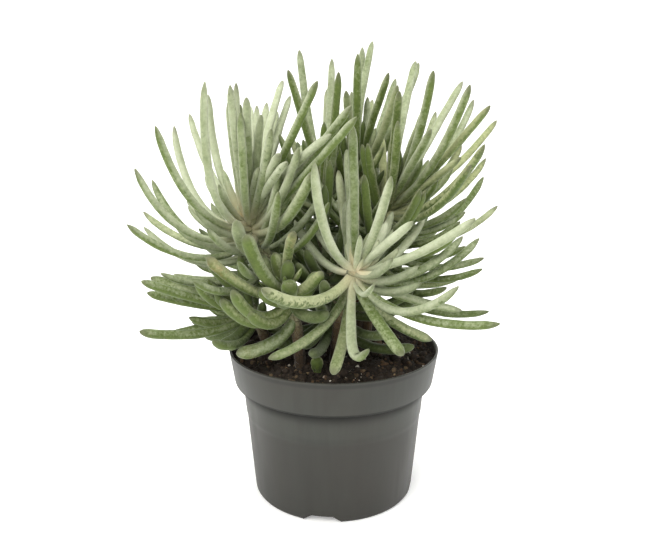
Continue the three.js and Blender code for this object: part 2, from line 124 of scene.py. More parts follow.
def triangles(thing):
    """The number of triangles of a mesh."""
    return sum(len(face.vertices) - 2 for face in thing.data.polygons)


SLIVER = 0.001


def tidy(thing, merge=0.02, sharp=180):
    """Merges doubles and points the faces outwards. Edges above an angle stay sharp."""
    work = bmesh.new()
    work.from_mesh(thing.data)
    bmesh.ops.remove_doubles(work, verts=work.verts, dist=merge * MM)
    bmesh.ops.dissolve_degenerate(work, edges=work.edges, dist=SLIVER * MM)
    bmesh.ops.recalc_face_normals(work, faces=work.faces)
    work.to_mesh(thing.data)
    work.free()
    thing.data.shade_smooth()
    thing.data.set_sharp_from_angle(angle=math.radians(sharp))


# %% [markdown]
# ## Helpers for node trees
# Node trees are long when each link is written out. The class below adds a node with its settings
# and inputs in one line. An input can be a value or the output of another node. The same class
# builds geometry trees, shader groups and materials.

# %% Helpers for node trees
class Tree:
    """A short way to write nodes and their links."""

    def __init__(self, tree):
        self.tree = tree

    def add(self, kind, inputs=(), **settings):
        """A node with its settings, and with each input set or linked. Returns the node."""
        node = self.tree.nodes.new(kind)
        for name, value in settings.items():
            setattr(node, name, value)
        for key, value in dict(inputs).items():
            self.plug(node, key, value)
        return node

    def plug(self, node, key, value):
        """Links an output to an input, or sets the input's own value."""
        if isinstance(value, bpy.types.Node):
            value = first_output(value)
        if isinstance(value, bpy.types.NodeSocket):
            self.tree.links.new(value, node.inputs[key])
        else:
            node.inputs[key].default_value = value

    def math(self, operation, *values, clamp=False):
        """A math node on one, two or three values."""
        inputs = dict(enumerate(values))
        return self.add("ShaderNodeMath", inputs, operation=operation, use_clamp=clamp).outputs[0]

    def vector_math(self, operation, *values):
        """A vector math node: the output is a number for a length."""
        keys = (0, "Scale") if operation == "SCALE" else (0, 1)
        node = self.add("ShaderNodeVectorMath", zip(keys, values), operation=operation)
        return node.outputs["Value" if operation == "LENGTH" else "Vector"]

    def remap(self, value, low, high, to_low=0.0, to_high=1.0):
        """A smooth step of a value from one range to another."""
        inputs = dict(enumerate((value, low, high, to_low, to_high)))
        return self.add("ShaderNodeMapRange", inputs, interpolation_type="SMOOTHSTEP").outputs[0]

    def swing(self, value, size):
        """How far a noise lies from its middle of one half, times a size."""
        return self.math("MULTIPLY", self.math("SUBTRACT", value, 0.5), size)

    def part(self, vector, axis):
        """One of the three numbers of a vector."""
        return self.add("ShaderNodeSeparateXYZ", {"Vector": vector}).outputs[axis]

    def noise(self, vector, scale, detail=3.0, roughness=0.55, distortion=0.0):
        """Fractal noise at a point: a factor around one half."""
        inputs = {"Vector": vector, "Scale": scale, "Detail": detail, "Roughness": roughness}
        return self.add("ShaderNodeTexNoise", dict(inputs, Distortion=distortion)).outputs[0]

    def mix(self, factor, first, second):
        """A mix of two colours."""
        inputs = {0: factor, 6: first, 7: second}
        return self.add("ShaderNodeMix", inputs, data_type="RGBA").outputs[2]


def first_output(node):
    """The first output of a node that is in use."""
    return next(socket for socket in node.outputs if socket.enabled)


def new_tree(name, kind, inputs, outputs):
    """A node group with named sockets: inputs as {name: (kind, value)}, outputs as {name: kind}."""
    group = bpy.data.node_groups.new(name, kind)
    for label, (socket, value) in inputs.items():
        item = group.interface.new_socket(label, in_out="INPUT", socket_type="NodeSocket" + socket)
        if value is not None:
            item.default_value = value
    for label, socket in outputs.items():
        group.interface.new_socket(label, in_out="OUTPUT", socket_type="NodeSocket" + socket)
    tree = Tree(group)
    return group, tree, tree.add("NodeGroupInput").outputs, tree.add("NodeGroupOutput")

# %% [markdown]
# ## How the plant grows
# The leaves of a real head sit in a spiral, each about 137.5 degrees on from the last, and they bend
# aside where a neighbour is in the way. The solid model grows them by that rule, and the scene
# repeats the rule with the same numbers, so that each fine leaf lies in the space of its solid one.
# The best known leaves are listed one by one as bearing, rise and length, and, for an odd one, its
# sag, how far down the stem it roots and how thick it is.

# %% Sizes of the plant
SOIL_TOP = 80.5
SOIL_MOUND = 2.5
RIM_RADIUS = 60
POT_HEIGHT = 86
STEM_RADIUS = 3.3
STEM_DEPTH = 12
HEART_RADIUS = 4.6
HEART_PLACE = 0.94
LEAF_RADIUS = 2.6
ROOT_SHARE = 0.7
FULLEST = 0.64
TIP_TAPER = 0.95
TIP_POWER = 2.1
TIP_SHAPE = 0.7
BEND_PLACES = (0.27, 0.72)
BEND_HANG = (1.6, 1.1)
SAG_UPRIGHT = 0.02
SAG_LEVEL = 0.18
STEEPEST = 85
ROOT_SLOPE = 0.21
ROOT_DEPTHS = (2, 24)
GOLDEN_TURN = 137.508
ROOM = 1
FIRST_FREE = 0.42
SAMPLES = 24
TRIED_TURNS = (4, 8, 12, 17)
TRIED_SCALES = (1, 0.86, 0.72)
TURN_STRAIN = 0.3
FIRST_ROOT = 3
HOOK_ROOT = 8
LEAFY_LENGTH = 20
BROAD_LUMPS = (0.9, 0.31, 0.27)
SMALL_LUMPS = (0.6, 0.83, 0.61)
RIM_INSIDE = 6
RIM_OUTSIDE = 5

# %% [markdown]
# ## The heads
# A head is a stem with its leaves. Its foot stands in the soil, its elbow and crown bend it, and its
# axis is the bearing and rise of the middle of its fan. The leaves that are seen singly are listed
# one by one, and the others are only a number, a spread and two lengths, because a rule places them.

# %% The heads
HEADS = [
    {
        "name": "front_head",
        "foot": (0, -20),
        "elbow": (3, -15, 122),
        "crown": (11, -38, 140),
        "axis": (330, 50),
        "root_slope": 0.1,
        "seen": [
            (232, 60, 64, 0.15), (264, 70, 76, 0), (96, 59, 68, 0), (104, 55, 58), (304, 61, 56),
            (48, 40, 42), (313, 38, 48, 0), (31, 29, 52), (326, 27, 72, 0.06), (21, 10, 76), (18, 14, 64),
            (316, 4, 64, 0.25), (4, -19, 62, 0.04), (319, -8, 82, 0.13), (2, -39, 56, 0.1, None, 1.2),
            (301, -33, 54, 0.03), (253, -53, 52, 0.14), (219, -32, 62, 0.16),
            (227, 3, 62, 0.17, None, 1.35), (132, 24, 52), (123, 25, 40, 0.04), (20, 54, 30),
            (350, 30, 26),
        ],
        "hooked": {
            "bearing": 287, "rise": -53, "length": 41,
            "outward": (-1, -12, -14), "hook": (-12, -3, -16),
        },
        "others": {"count": 5, "spread": 60, "shortest": 12, "longest": 42, "spin": 20, "leafy": 8},
    },
    {
        "name": "left_head",
        "foot": (-20, -12),
        "elbow": (-26, -12, 132),
        "crown": (-48, -13, 162),
        "axis": (190, 62),
        "seen": [
            (230, 43, 79, 0.17), (146, 44, 76, 0.24), (138, 50, 76, 0.1), (252, 59, 83, 0.26),
            (126, 58, 80, 0.16), (104, 62, 84, 0.21), (277, 54, 80, -0.06), (94, 53, 78, -0.06),
            (272, 58, 82), (82, 57, 80, 0.01), (259, 69, 66, 0.05), (72, 56, 92, -0.04),
            (69, 51, 88, -0.02), (306, 49, 96, 0), (214, 30, 72, 0.22), (158, 22, 70, 0.26),
            (161, 10, 66), (224, 11, 76), (166, 3, 68, 0.25), (286, 49, 44, -0.06), (297, 45, 62, -0.06),
            (300, 42, 66), (306, 32, 66), (58, 40, 70, 0.04), (305, 41, 84, -0.06), (311, 36, 100, 0.01),
            (307, 41, 96, 0.01), (261, 20, 36, 0.3, None, 1.3), (295, 43, 60, -0.06),
        ],
        "others": {"count": 6, "spread": 60, "shortest": 20, "longest": 50, "spin": 70, "leafy": 16},
    },
    {
        "name": "right_head",
        "foot": (18, 4),
        "elbow": (20, 4, 142),
        "crown": (32, 6, 169),
        "axis": (5, 62),
        "seen": [
            (290, 56, 84), (44, 52, 66), (32, 53, 86, 0.01), (303, 47, 88), (30, 45, 84),
            (313, 41, 85, 0.03), (22, 35, 86, 0.07), (310, 31, 76), (23, 24, 72), (27, 34, 64),
            (305, 21, 74), (30, 1, 86), (37, 12, 84, 0.23), (310, 36, 60, 0.02), (271, 57, 72, -0.06),
            (66, 62, 90, -0.04), (292, 51, 58, 0),
        ],
        "others": {"count": 14, "spread": 74, "shortest": 24, "longest": 62, "spin": 150, "leafy": 40},
    },
    {
        "name": "middle_head",
        "foot": (-8, 12),
        "elbow": (-8, 13, 150),
        "crown": (-5, 16, 175),
        "axis": (100, 84),
        "seen": [
            (121, 66, 84), (234, 64, 72, 0), (82, 68, 80), (280, 57, 76), (87, 65, 66),
            (290, 52, 58, -0.03),
        ],
        "others": {"count": 15, "spread": 76, "shortest": 26, "longest": 66, "spin": 30, "leafy": 50},
    },
    {
        "name": "tall_head",
        "foot": (8, 26),
        "elbow": (9, 26, 156),
        "crown": (12, 30, 181),
        "axis": (60, 82),
        "seen": [
            (271, 62, 76, 0.13), (66, 70, 84, -0.06), (296, 57, 70, 0), (43, 59, 68), (303, 53, 66),
            (78, 74, 80, 0.03), (36, 58, 84), (62, 68, 50, 0.1), (257, 65, 54, 0),
        ],
        "others": {"count": 14, "spread": 76, "shortest": 26, "longest": 66, "spin": 200, "leafy": 50},
    },
    {
        "name": "low_left_shoot",
        "foot": (-36, -4),
        "elbow": (-38, -8, 106),
        "crown": (-52, -13, 118),
        "axis": (195, 34),
        "girth": 1.12,
        "seen": [
            (211, 21, 64, 0.03), (173, 16, 60, 0), (202, 15, 58, 0.03), (221, 3, 68, 0.1),
            (197, -9, 51, 0), (154, -12, 42, 0.02), (237, 42, 44, 0), (225, 30, 40),
        ],
        "others": {"count": 6, "spread": 60, "shortest": 18, "longest": 44, "spin": 10},
    },
    {
        "name": "low_front_shoot",
        "foot": (-18, -24),
        "elbow": (-18, -28, 112),
        "crown": (-26, -34, 131),
        "axis": (240, 58),
        "girth": 1.3,
        "seen": [
            (232, 50, 44, 0.12, None, 1.12), (288, 62, 36, -0.12), (204, 30, 49, 0.11), (205, 9, 38, 0.3),
            (218, 17, 36, 0.3), (223, 3, 28, 0.3), (325, 35, 26, 0.07), (275, 30, 22, 0),
            (199, -28, 36, 0.17, 26, 1.3),
        ],
        "others": {"count": 3, "spread": 50, "shortest": 16, "longest": 28, "spin": 120},
    },
    {
        "name": "inner_shoot",
        "foot": (2, 2),
        "elbow": (1, 1, 108),
        "crown": (-4, -8, 132),
        "axis": (250, 66),
        "girth": 1.15,
        "seen": [],
        "others": {"count": 14, "spread": 88, "shortest": 22, "longest": 50, "spin": 60},
    },
    {
        "name": "back_head",
        "foot": (16, 44),
        "elbow": (16, 46, 126),
        "crown": (18, 64, 150),
        "axis": (75, 50),
        "seen": [],
        "others": {"count": 22, "spread": 82, "shortest": 30, "longest": 70, "spin": 0},
    },
    {
        "name": "back_left_head",
        "foot": (-26, 28),
        "elbow": (-27, 30, 126),
        "crown": (-40, 46, 150),
        "axis": (135, 52),
        "seen": [],
        "others": {"count": 22, "spread": 78, "shortest": 30, "longest": 66, "spin": 90},
    },
]
print("heads:", len(HEADS), "listed leaves:", sum(len(head["seen"]) for head in HEADS))

# %% [markdown]
# ## Bending and thickness
# A leaf is a Bezier curve: it leaves its stem low and bends up, because each finger is heavy with
# water and the tip turns to the light. Its thickness follows one formula, slim at the root, fullest
# past the middle and blunt at the tip.

# %% Bending and thickness
def direction(bearing, rise):
    """The unit vector of a bearing from +X towards +Y and a rise above level, in degrees."""
    b, r = math.radians(bearing), math.radians(rise)
    return np.array([math.cos(r) * math.cos(b), math.cos(r) * math.sin(b), math.sin(r)])


def bezier(points, places):
    """Points on a Bezier curve at places from 0 to 1."""
    places = np.asarray(places, dtype=float)[:, None]
    layers = [np.asarray(point, dtype=float)[None, :] for point in points]
    while len(layers) > 1:
        layers = [(1 - places) * a + places * b for a, b in zip(layers, layers[1:])]
    return layers[0]


def finger_share(t):
    """Thickness along a finger leaf, as a share of its fullest."""
    body = ROOT_SHARE + (1 - ROOT_SHARE) * np.sin(np.minimum(t / FULLEST, 1) * math.pi / 2)
    taper = np.maximum((t - FULLEST) / (1 - FULLEST), 0)
    return body * (1 - TIP_TAPER * taper**TIP_POWER) ** TIP_SHAPE


def leaf_curve(root, heading, length, sag):
    """The four control points of a leaf, whose middle hangs below the line from root to tip."""
    up = np.array([0, 0, 1]) - heading * heading[2]
    up /= np.linalg.norm(up)
    middle = [
        root + heading * place * length - up * hang * sag * length
        for place, hang in zip(BEND_PLACES, BEND_HANG)
    ]
    return [root, *middle, root + heading * length]


def hooked_curve(root, hooked):
    """The leaf that hangs down from its root and turns back up at its tip."""
    tip = root + direction(hooked["bearing"], hooked["rise"]) * hooked["length"]
    return [root, root + np.array(hooked["outward"]), tip + np.array(hooked["hook"]), tip]


def stem_points(head):
    """The three control points of a stem: foot, elbow and crown."""
    foot = (*head["foot"], SOIL_TOP - STEM_DEPTH)
    return [np.array(point, float) for point in (foot, head["elbow"], head["crown"])]


def root_of(head, down):
    """The place on a head's stem that lies a length down from its crown."""
    foot, elbow, crown = stem_points(head)
    reach = np.linalg.norm(elbow - foot) + np.linalg.norm(crown - elbow)
    return bezier([foot, elbow, crown], [1 - down / reach])[0]


# %% [markdown]
# ## Ground and room
# A leaf must clear the soil and the rim, the other heads and, past its root, its own neighbours. All
# that has grown is kept as one table of points with their thickness, and a new leaf is measured
# against it. It tries its own place first, then small turns, then a shorter length.

# %% Ground and room
def soil_height(x, y):
    """Height of the soil's surface, with its broad and its small lumps."""
    out = np.hypot(x, y) / RIM_RADIUS
    broad, broad_x, broad_y = BROAD_LUMPS
    small, small_x, small_y = SMALL_LUMPS
    lumps = broad * np.sin(x * broad_x + 1) * np.cos(y * broad_y)
    lumps = lumps + small * np.sin(x * small_x + y * small_y)
    return SOIL_TOP + SOIL_MOUND * (1 - out * out) + lumps


def ground_at(x, y):
    """What a leaf must stay above: the soil inside the pot, and the rim around it."""
    out = np.hypot(x, y)
    height = np.where(out > RIM_RADIUS - RIM_INSIDE, POT_HEIGHT, soil_height(x, y))
    return np.where(out > RIM_RADIUS + RIM_OUTSIDE, -np.inf, height)


STEPS = np.arange(SAMPLES + 1) / SAMPLES
LEAF_STEPS = LEAF_RADIUS * finger_share(STEPS)
LONGEST_REACH = 12
PLACE, THICK, ALONG, HEAD, STEM = slice(0, 3), 3, 4, 5, 6
grown = np.empty((0, 7))


def rows_of(places, thick, along, head, stem):
    """Rows for the table of what has grown."""
    rows = np.empty((len(places), 7))
    rows[:, PLACE], rows[:, THICK], rows[:, ALONG] = places, thick, along
    rows[:, HEAD], rows[:, STEM] = head, stem
    return rows


def crowding(rows, near, room):
    """How far a leaf would reach into other heads and the ground, and into its own head."""
    ground = ground_at(rows[:, 0], rows[:, 1]) + rows[:, THICK] + room - rows[:, 2]
    away = np.linalg.norm(rows[:, None, PLACE] - near[None, :, PLACE], axis=2)
    reach = rows[:, None, THICK] + near[None, :, THICK] + room - away
    other = near[:, HEAD] != rows[0, HEAD]
    apart = (near[:, ALONG] > FIRST_FREE) | (near[:, STEM] > 0)
    free = (rows[:, ALONG] > FIRST_FREE)[:, None] & apart[None, :]
    own = np.where(free & ~other[None, :], reach, -np.inf).max()
    return max(ground.max(), reach[:, other].max(initial=-np.inf)), own


# %% Growing a leaf
TURNS = [(0, 0)]
for turn in TRIED_TURNS:
    TURNS += [(turn, 0), (-turn, 0), (0, turn), (0, -turn)]
    TURNS += [(turn, turn), (-turn, turn), (turn, -turn), (-turn, -turn)]
print("turns that a leaf tries:", len(TURNS))


def root_depth(head, rise):
    """How far down its stem a leaf roots: the lower it points, the further."""
    depth = (STEEPEST - rise) * head.get("root_slope", ROOT_SLOPE)
    return min(max(depth, ROOT_DEPTHS[0]), ROOT_DEPTHS[1])


def grow_leaf(number, leaf, room=ROOM, turns=TURNS):
    """The curve of one leaf with room around it, or None where there is no room."""
    global grown
    head = HEADS[number]
    bearing, rise, length, sag, down, girth = (*leaf, None, None, None)[:6]
    down = root_depth(head, rise) if down is None else down
    root = root_of(head, down)
    girth = head.get("girth", 1) * (girth or 1)
    thick = LEAF_STEPS * girth
    near = grown[np.linalg.norm(grown[:, PLACE] - root, axis=1) < length + LONGEST_REACH]
    best = None
    for scale in TRIED_SCALES:
        for side, lift in turns:
            level = math.cos(math.radians(rise + lift)) ** 2
            hang = SAG_UPRIGHT + (SAG_LEVEL - SAG_UPRIGHT) * level if sag is None else sag
            curve = leaf_curve(root, direction(bearing + side, rise + lift), length * scale, hang)
            rows = rows_of(bezier(curve, STEPS), thick, STEPS, number, 0)
            others, own = crowding(rows, near, room)
            strain = max(own, 0) + TURN_STRAIN * (abs(side) + abs(lift))
            if others <= 0 and (best is None or strain < best["strain"]):
                best = {"curve": curve, "rows": rows, "strain": strain, "length": length * scale}
                best.update(down=down, girth=girth)
            if best is not None and TURN_STRAIN * (abs(side) + abs(lift)) >= best["strain"]:
                break
        if best is not None:
            break
    if best is not None:
        grown = np.vstack([grown, best.pop("rows")])
    return best


# %% [markdown]
# ## The spiral
# The leaves that no eye can tell apart follow the golden turn around the head's axis. The oldest
# stand lowest, are longest and spread most. The random numbers come from a small generator with a
# fixed start, so that the plant grows the same way every time.

# %% The spiral
def numbers(seed):
    """Repeatable random numbers from 0 to 1."""
    while True:
        seed = (seed * 1664525 + 1013904223) % 4294967296
        yield seed / 4294967296


chance = numbers(20)
OPENING_DRAW = (0.94, 0.12)
LENGTH_DRAW = (0.92, 0.16)


def draw(least, more):
    """A random number from the least up to that much more."""
    return least + more * next(chance)


def side_of(heading):
    """The level unit vector that lies square to a heading."""
    side = np.cross([0, 0, 1], heading)
    return side / np.linalg.norm(side)


def fan_out(head, opening, turn):
    """The direction that opens from a head's axis by one angle and turns about it by another."""
    axis = direction(*head["axis"])
    side = side_of(axis)
    around = side * math.cos(turn) + np.cross(axis, side) * math.sin(turn)
    return axis * math.cos(opening) + math.sin(opening) * around


def spiral_leaves(head, others):
    """The leaves of a head that follow the golden turn."""
    leaves = []
    for k in range(others["count"]):
        age = math.sqrt((k + 0.5) / others["count"])
        turn = math.radians(k * GOLDEN_TURN + others["spin"])
        opening = math.radians(others["spread"] * age * draw(*OPENING_DRAW))
        way = fan_out(head, opening, turn)
        length = others["shortest"] + (others["longest"] - others["shortest"]) * age
        length *= draw(*LENGTH_DRAW)
        bearing = math.degrees(math.atan2(way[1], way[0]))
        rise = math.degrees(math.asin(way[2]))
        down = FIRST_ROOT + others.get("leafy", LEAFY_LENGTH) * age**2
        leaves.append((bearing, rise, length, None, down))
    return leaves


# %% [markdown]
# ## Growing the plant
# The stems come first, because no leaf may cross them, then the listed leaves of all heads, so that
# most of them find their own places free, and last the leaves of the spiral, which give way to them.

# %% Growing the plant
for number, head in enumerate(HEADS):
    stem = stem_points(head)
    heart = bezier(stem, [HEART_PLACE])
    grown = np.vstack([
        grown,
        rows_of(bezier(stem, STEPS), STEM_RADIUS, STEPS, number, 1),
        rows_of(heart, HEART_RADIUS, 1, number, 1),
    ])
for number, head in enumerate(HEADS):
    head["leaves"] = []
    if "hooked" in head:
        curve = hooked_curve(root_of(head, HOOK_ROOT), head["hooked"])
        grown = np.vstack([grown, rows_of(bezier(curve, STEPS), LEAF_STEPS, STEPS, number, 0)])
        length = head["hooked"]["length"]
        head["leaves"].append({"curve": curve, "length": length, "down": HOOK_ROOT, "girth": 1})
    head["leaves"] += [grow_leaf(number, leaf) for leaf in head["seen"]]
for number, head in enumerate(HEADS):
    head["leaves"] += [grow_leaf(number, leaf) for leaf in spiral_leaves(head, head["others"])]
    head["leaves"] = [leaf for leaf in head["leaves"] if leaf is not None]
print("leaves grown:", {head["name"]: len(head["leaves"]) for head in HEADS})

# %% [markdown]
# ## Leaves that fill the heads
# The solids show the leaves that shape the plant. A real head has shorter, greener leaves between
# them, which make it dense, so more are grown by the same rule. They may come closer to their
# neighbours, and they give up sooner where there is no room. A few upright ones that stand behind
# the others are listed, and a few places stay bare, so that a crown or a stem shows between them.

# %% Leaves that fill the heads
FILL_ROOM = 0.1
FILL_TRIES = 17
FILLS = {
    "front_head": {"count": 8, "spread": 74, "shortest": 16, "longest": 44, "spin": 95, "leafy": 14},
    "left_head": {"count": 34, "spread": 82, "shortest": 22, "longest": 60, "spin": 160, "leafy": 34},
    "right_head": {"count": 34, "spread": 84, "shortest": 26, "longest": 66, "spin": 40, "leafy": 50},
    "middle_head": {"count": 34, "spread": 84, "shortest": 26, "longest": 62, "spin": 120, "leafy": 60},
    "tall_head": {"count": 26, "spread": 80, "shortest": 26, "longest": 60, "spin": 75, "leafy": 60},
    "low_left_shoot": {"count": 12, "spread": 84, "shortest": 18, "longest": 42, "spin": 80, "leafy": 18},
    "low_front_shoot": {"count": 6, "spread": 80, "shortest": 16, "longest": 28, "spin": 30, "leafy": 14},
    "inner_shoot": {"count": 26, "spread": 92, "shortest": 24, "longest": 56, "spin": 140, "leafy": 30},
    "back_head": {"count": 24, "spread": 88, "shortest": 30, "longest": 62, "spin": 60, "leafy": 34},
    "back_left_head": {"count": 24, "spread": 88, "shortest": 30, "longest": 60, "spin": 150, "leafy": 34},
}
BARE_PLACES = {"left_head": (12, 25, 30), "front_head": (3, 6), "inner_shoot": (11,)}
UPRIGHT_FILLS = {
    "left_head": [
        (101, 56, 76, 0.25), (88, 54, 74, 0.07), (289, 56, 66, 0), (77, 52, 80, 0), (71, 50, 76, 0),
        (292, 51, 66, 0.04), (273, 56, 70, 0.15), (278, 57, 60, 0),
    ],
    "right_head": [(89, 54, 72, 0), (64, 48, 72, 0.02), (287, 40, 70, 0), (271, 52, 60, 0.1)],
    "middle_head": [(275, 49, 56, 0.09)],
    "tall_head": [(90, 52, 66, 0.2), (73, 46, 66, 0)],
}


def fill(number, leaves):
    """The leaves that find room between those of their head."""
    filling = [grow_leaf(number, leaf, FILL_ROOM, TURNS[:FILL_TRIES]) for leaf in leaves]
    return [leaf for leaf in filling if leaf is not None]


for number, head in enumerate(HEADS):
    head["upright"] = fill(number, UPRIGHT_FILLS.get(head["name"], []))
for number, head in enumerate(HEADS):
    filling = fill(number, spiral_leaves(head, FILLS[head["name"]]))
    bare = BARE_PLACES.get(head["name"], ())
    head["fills"] = [leaf for place, leaf in enumerate(filling) if place not in bare]
print("upright leaves that fill:", {head["name"]: len(head["upright"]) for head in HEADS})
print("leaves that fill:", {head["name"]: len(head["fills"]) for head in HEADS})

# %% [markdown]
# ## Paths for the fingers
# A leaf could be modelled vertex by vertex, but some hundreds of them follow one rule. So each leaf
# is only a path here: a row of points with its thickness, its age and which way its broad side
# looks. Geometry Nodes will later sweep a cross-section along all paths of a head at once. Leaves
# of one head look alike, so each head has its look: how green and yellow its leaves are, how wide
# and blunt, how much painted shade darkens the filling ones and its own, and how far the beige wool
# of its crown reaches.

# %% The look of each head
PLAIN_LOOK = {
    "green": 0.3, "tone": 0.45, "wide": 0.86, "blunt": 0.12, "shade": 0.5, "own_painted_shade": 0, "crown": 28,
}
LOOKS = {
    "front_head": {"green": 0.14, "tone": 0.4, "wide": 0.92, "shade": 0.5, "crown": 16},
    "left_head": {"green": 0.04, "tone": 0.2, "wide": 0.83, "shade": 0.1},
    "right_head": {"green": 0.38, "tone": 0.7, "wide": 0.86, "shade": 0.4},
    "middle_head": {"green": 0.38, "tone": 0.55, "wide": 0.86, "shade": 0.9, "own_painted_shade": 0.1},
    "tall_head": {"green": 0.34, "tone": 0.55, "wide": 0.86, "shade": 0.9, "own_painted_shade": 0.05},
    "low_left_shoot": {"green": 0.72, "wide": 0.95, "blunt": 0.5, "shade": 0.9},
    "low_front_shoot": {"green": 0.72, "tone": 0.7, "wide": 1.0, "blunt": 1.0, "shade": 0.7},
    "inner_shoot": {"green": 0.8, "wide": 0.92, "blunt": 0.8, "shade": 1.0, "own_painted_shade": 0.7},
    "back_head": {"green": 0.25},
    "back_left_head": {"green": 0.25},
}

# %% Thickness along a path
BODY_RINGS = 18
TIP_RINGS = 12
TIP_LENGTH = 9
BLUNT_LENGTH = 6.5
LONGEST_TIP = 0.5
SLENDER = 0.2
SLENDER_POWER = 1.5
POINTED = 0.64
ROUND = 0.5
THINNEST = 0.02


def girth_along(length, blunt):
    """Places along a leaf and its thickness there. A blunt leaf ends round, others narrow."""
    tip = min((TIP_LENGTH + (BLUNT_LENGTH - TIP_LENGTH) * blunt) / length, LONGEST_TIP)
    near_end = np.sin(np.linspace(0, math.pi / 2, TIP_RINGS + 1)[1:])
    places = np.concatenate([np.linspace(0, 1 - tip, BODY_RINGS), 1 - tip + tip * near_end])
    body = ROOT_SHARE + (1 - ROOT_SHARE) * np.sin(np.minimum(places / FULLEST, 1) * math.pi / 2)
    past = np.clip((places - FULLEST) / (1 - FULLEST), 0, 1)
    body -= SLENDER * (1 - blunt) * past**SLENDER_POWER
    narrow = np.clip((places - 1 + tip) / tip, 0, 1)
    share = body * np.maximum(1 - narrow**2, 0) ** (POINTED - (POINTED - ROUND) * blunt)
    return places, np.maximum(share, THINNEST)


# %% Values along a path
VALUES = ("along", "girth", "age", "tone", "bark", "crown", "bald", "shade", "rust")


class Paths:
    """The paths of one head, with their values for each point."""

    def __init__(self):
        self.points, self.edges = [], []
        self.values = {name: [] for name in VALUES}
        self.sides = []

    def add(self, points, side, **values):
        """A row of points, in millimetres. A value is one number, or one for each point."""
        first = len(self.points)
        self.points += list(points)
        self.edges += [(first + k, first + k + 1) for k in range(len(points) - 1)]
        self.sides += [side] * len(points)
        for name, row in self.values.items():
            row += list(np.broadcast_to(values.get(name, 0.0), len(points)))

    def object(self, name):
        """The paths as a mesh of edges, in metres."""
        thing = mesh_object(name, np.array(self.points) * MM, edges=self.edges)
        for label, row in self.values.items():
            store(thing, label, np.array(row) * (MM if label == "girth" else 1))
        store(thing, "side", self.sides, "FLOAT_VECTOR")
        return thing


# %% [markdown]
# ## Marks of single leaves
# Some leaves differ from the rest of their head: an old one is bare and green, one has rusty scabs,
# one is thick and blunt. Each is named here by its place among the leaves of its head, where -1 is
# the hooked leaf. A mark gives its age, bald blotches, tone from bluish to yellow, rust or shade, or
# makes it wider or blunter. What has no mark follows the look of the head and a random draw.

# %% Marks of single leaves
MARKS = {
    "front_head": {
        -1: {"age": 0.2, "blunt": 1, "wide": 1.15}, 1: {"age": 0.3, "tone": 0.05, "shade": 0.25},
        2: {"age": 0.35, "tone": 0.05, "shade": 0.3}, 4: {"tone": 0.5, "bald": 0.2},
        8: {"tone": 0.3}, 9: {"age": 0.75, "bald": 0.5}, 10: {"age": 0.6, "bald": 0.5},
        12: {"age": 0.5}, 13: {"age": 0.85, "bald": 0.15},
        14: {"age": 0.55, "bald": 0.9, "tone": 0.8, "blunt": 0.8},
        15: {"age": 0.9, "bald": 0.6, "tone": 0.6, "blunt": 0.9, "wide": 1.2},
        16: {"age": 0.6, "bald": 0.9, "tone": 0.8, "blunt": 0.9, "wide": 1.2},
        17: {"age": 0.72, "bald": 0.3, "blunt": 0.4, "wide": 1.1},
        18: {"age": 0.3, "bald": 0.95, "tone": 0.85, "blunt": 0.7},
        24: {"wide": 0.72}, 27: {"wide": 0.62},
    },
    "right_head": {
        6: {"age": 0.6}, 7: {"age": 0.6, "bald": 0.8, "tone": 0.9},
        8: {"age": 0.65, "bald": 0.8, "tone": 1.0}, 9: {"age": 0.5, "bald": 0.8, "tone": 0.9},
        10: {"age": 0.7, "bald": 0.9}, 11: {"age": 0.6, "bald": 0.3},
        12: {"age": 0.95, "tone": 0.1}, 15: {"age": 0.45, "tone": 0.3},
    },
    "left_head": {
        0: {"age": 0.4}, 13: {"age": 0.5, "bald": 0.3}, 14: {"age": 0.45}, 15: {"age": 0.6},
        16: {"age": 0.6, "bald": 0.4, "tone": 0.7}, 17: {"age": 0.65, "bald": 0.5},
        22: {"age": 0.48, "bald": 0.2, "tone": 0.6, "wide": 1.4},
        25: {"age": 0.5, "bald": 0.2}, 26: {"age": 0.45, "bald": 0.2},
        27: {"blunt": 1, "tone": 0.3, "wide": 1.15}, 28: {"blunt": 1, "tone": 0.5},
    },
    "low_left_shoot": {
        0: {"age": 0.85}, 1: {"age": 0.8}, 2: {"age": 0.85}, 3: {"age": 0.95, "bald": 0.5, "tone": 0.6},
        4: {"age": 0.9}, 5: {"age": 0.9}, 6: {"age": 0.6, "bald": 0.5, "tone": 0.9},
    },
    "low_front_shoot": {
        0: {"age": 0.8, "tone": 0.6},
        1: {"age": 0.45, "tone": 0.9, "bald": 0.4, "rust": 0.6, "wide": 0.73},
        2: {"age": 0.7, "tone": 0.9, "rust": 0.8, "wide": 0.92},
        6: {"age": 0.6, "tone": 0.9}, 7: {"age": 1.0, "tone": 0.2, "wide": 1.25},
        8: {"age": 0.6, "bald": 0.5, "tone": 0.3, "rust": 0.3, "wide": 0.92},
    },
    "middle_head": {1: {"age": 0.62}, 3: {"age": 0.6}, 5: {"age": 0.65}},
    "tall_head": {1: {"age": 0.5, "tone": 0.1}, 6: {"age": 0.55, "tone": 0.2}},
}
print("leaves with marks:", sum(len(marks) for marks in MARKS.values()))

# %% [markdown]
# ## Leaves, tuft and stem
# Three kinds of path make up a head: its leaves, the tuft of young ones in its crown and the stem. A
# leaf that roots low on its stem is older, and one that lies low in the bush is older and darkened
# by painted shade, because little light reaches it. Small random draws keep two leaves from being
# the same.

# %% The path of one leaf
pick = random.Random(7)
AGE_BY_DEPTH = 0.3
AGE_DRAW = 0.12
TONE_DRAW = 0.3
MOST_BALD = 0.4
GIRTH_DRAW = 0.06
LIT_HEIGHT = 145
UNLIT_DEPTH = 50
UNLIT_AGE = 0.15
UNLIT_SHADE = 0.4
FILL_AGE = 0.15
UPRIGHT_AGE = 0.05
SHADE_DRAW = 0.2


def within(value, low=0, high=1):
    """A number held between two others."""
    return min(max(value, low), high)


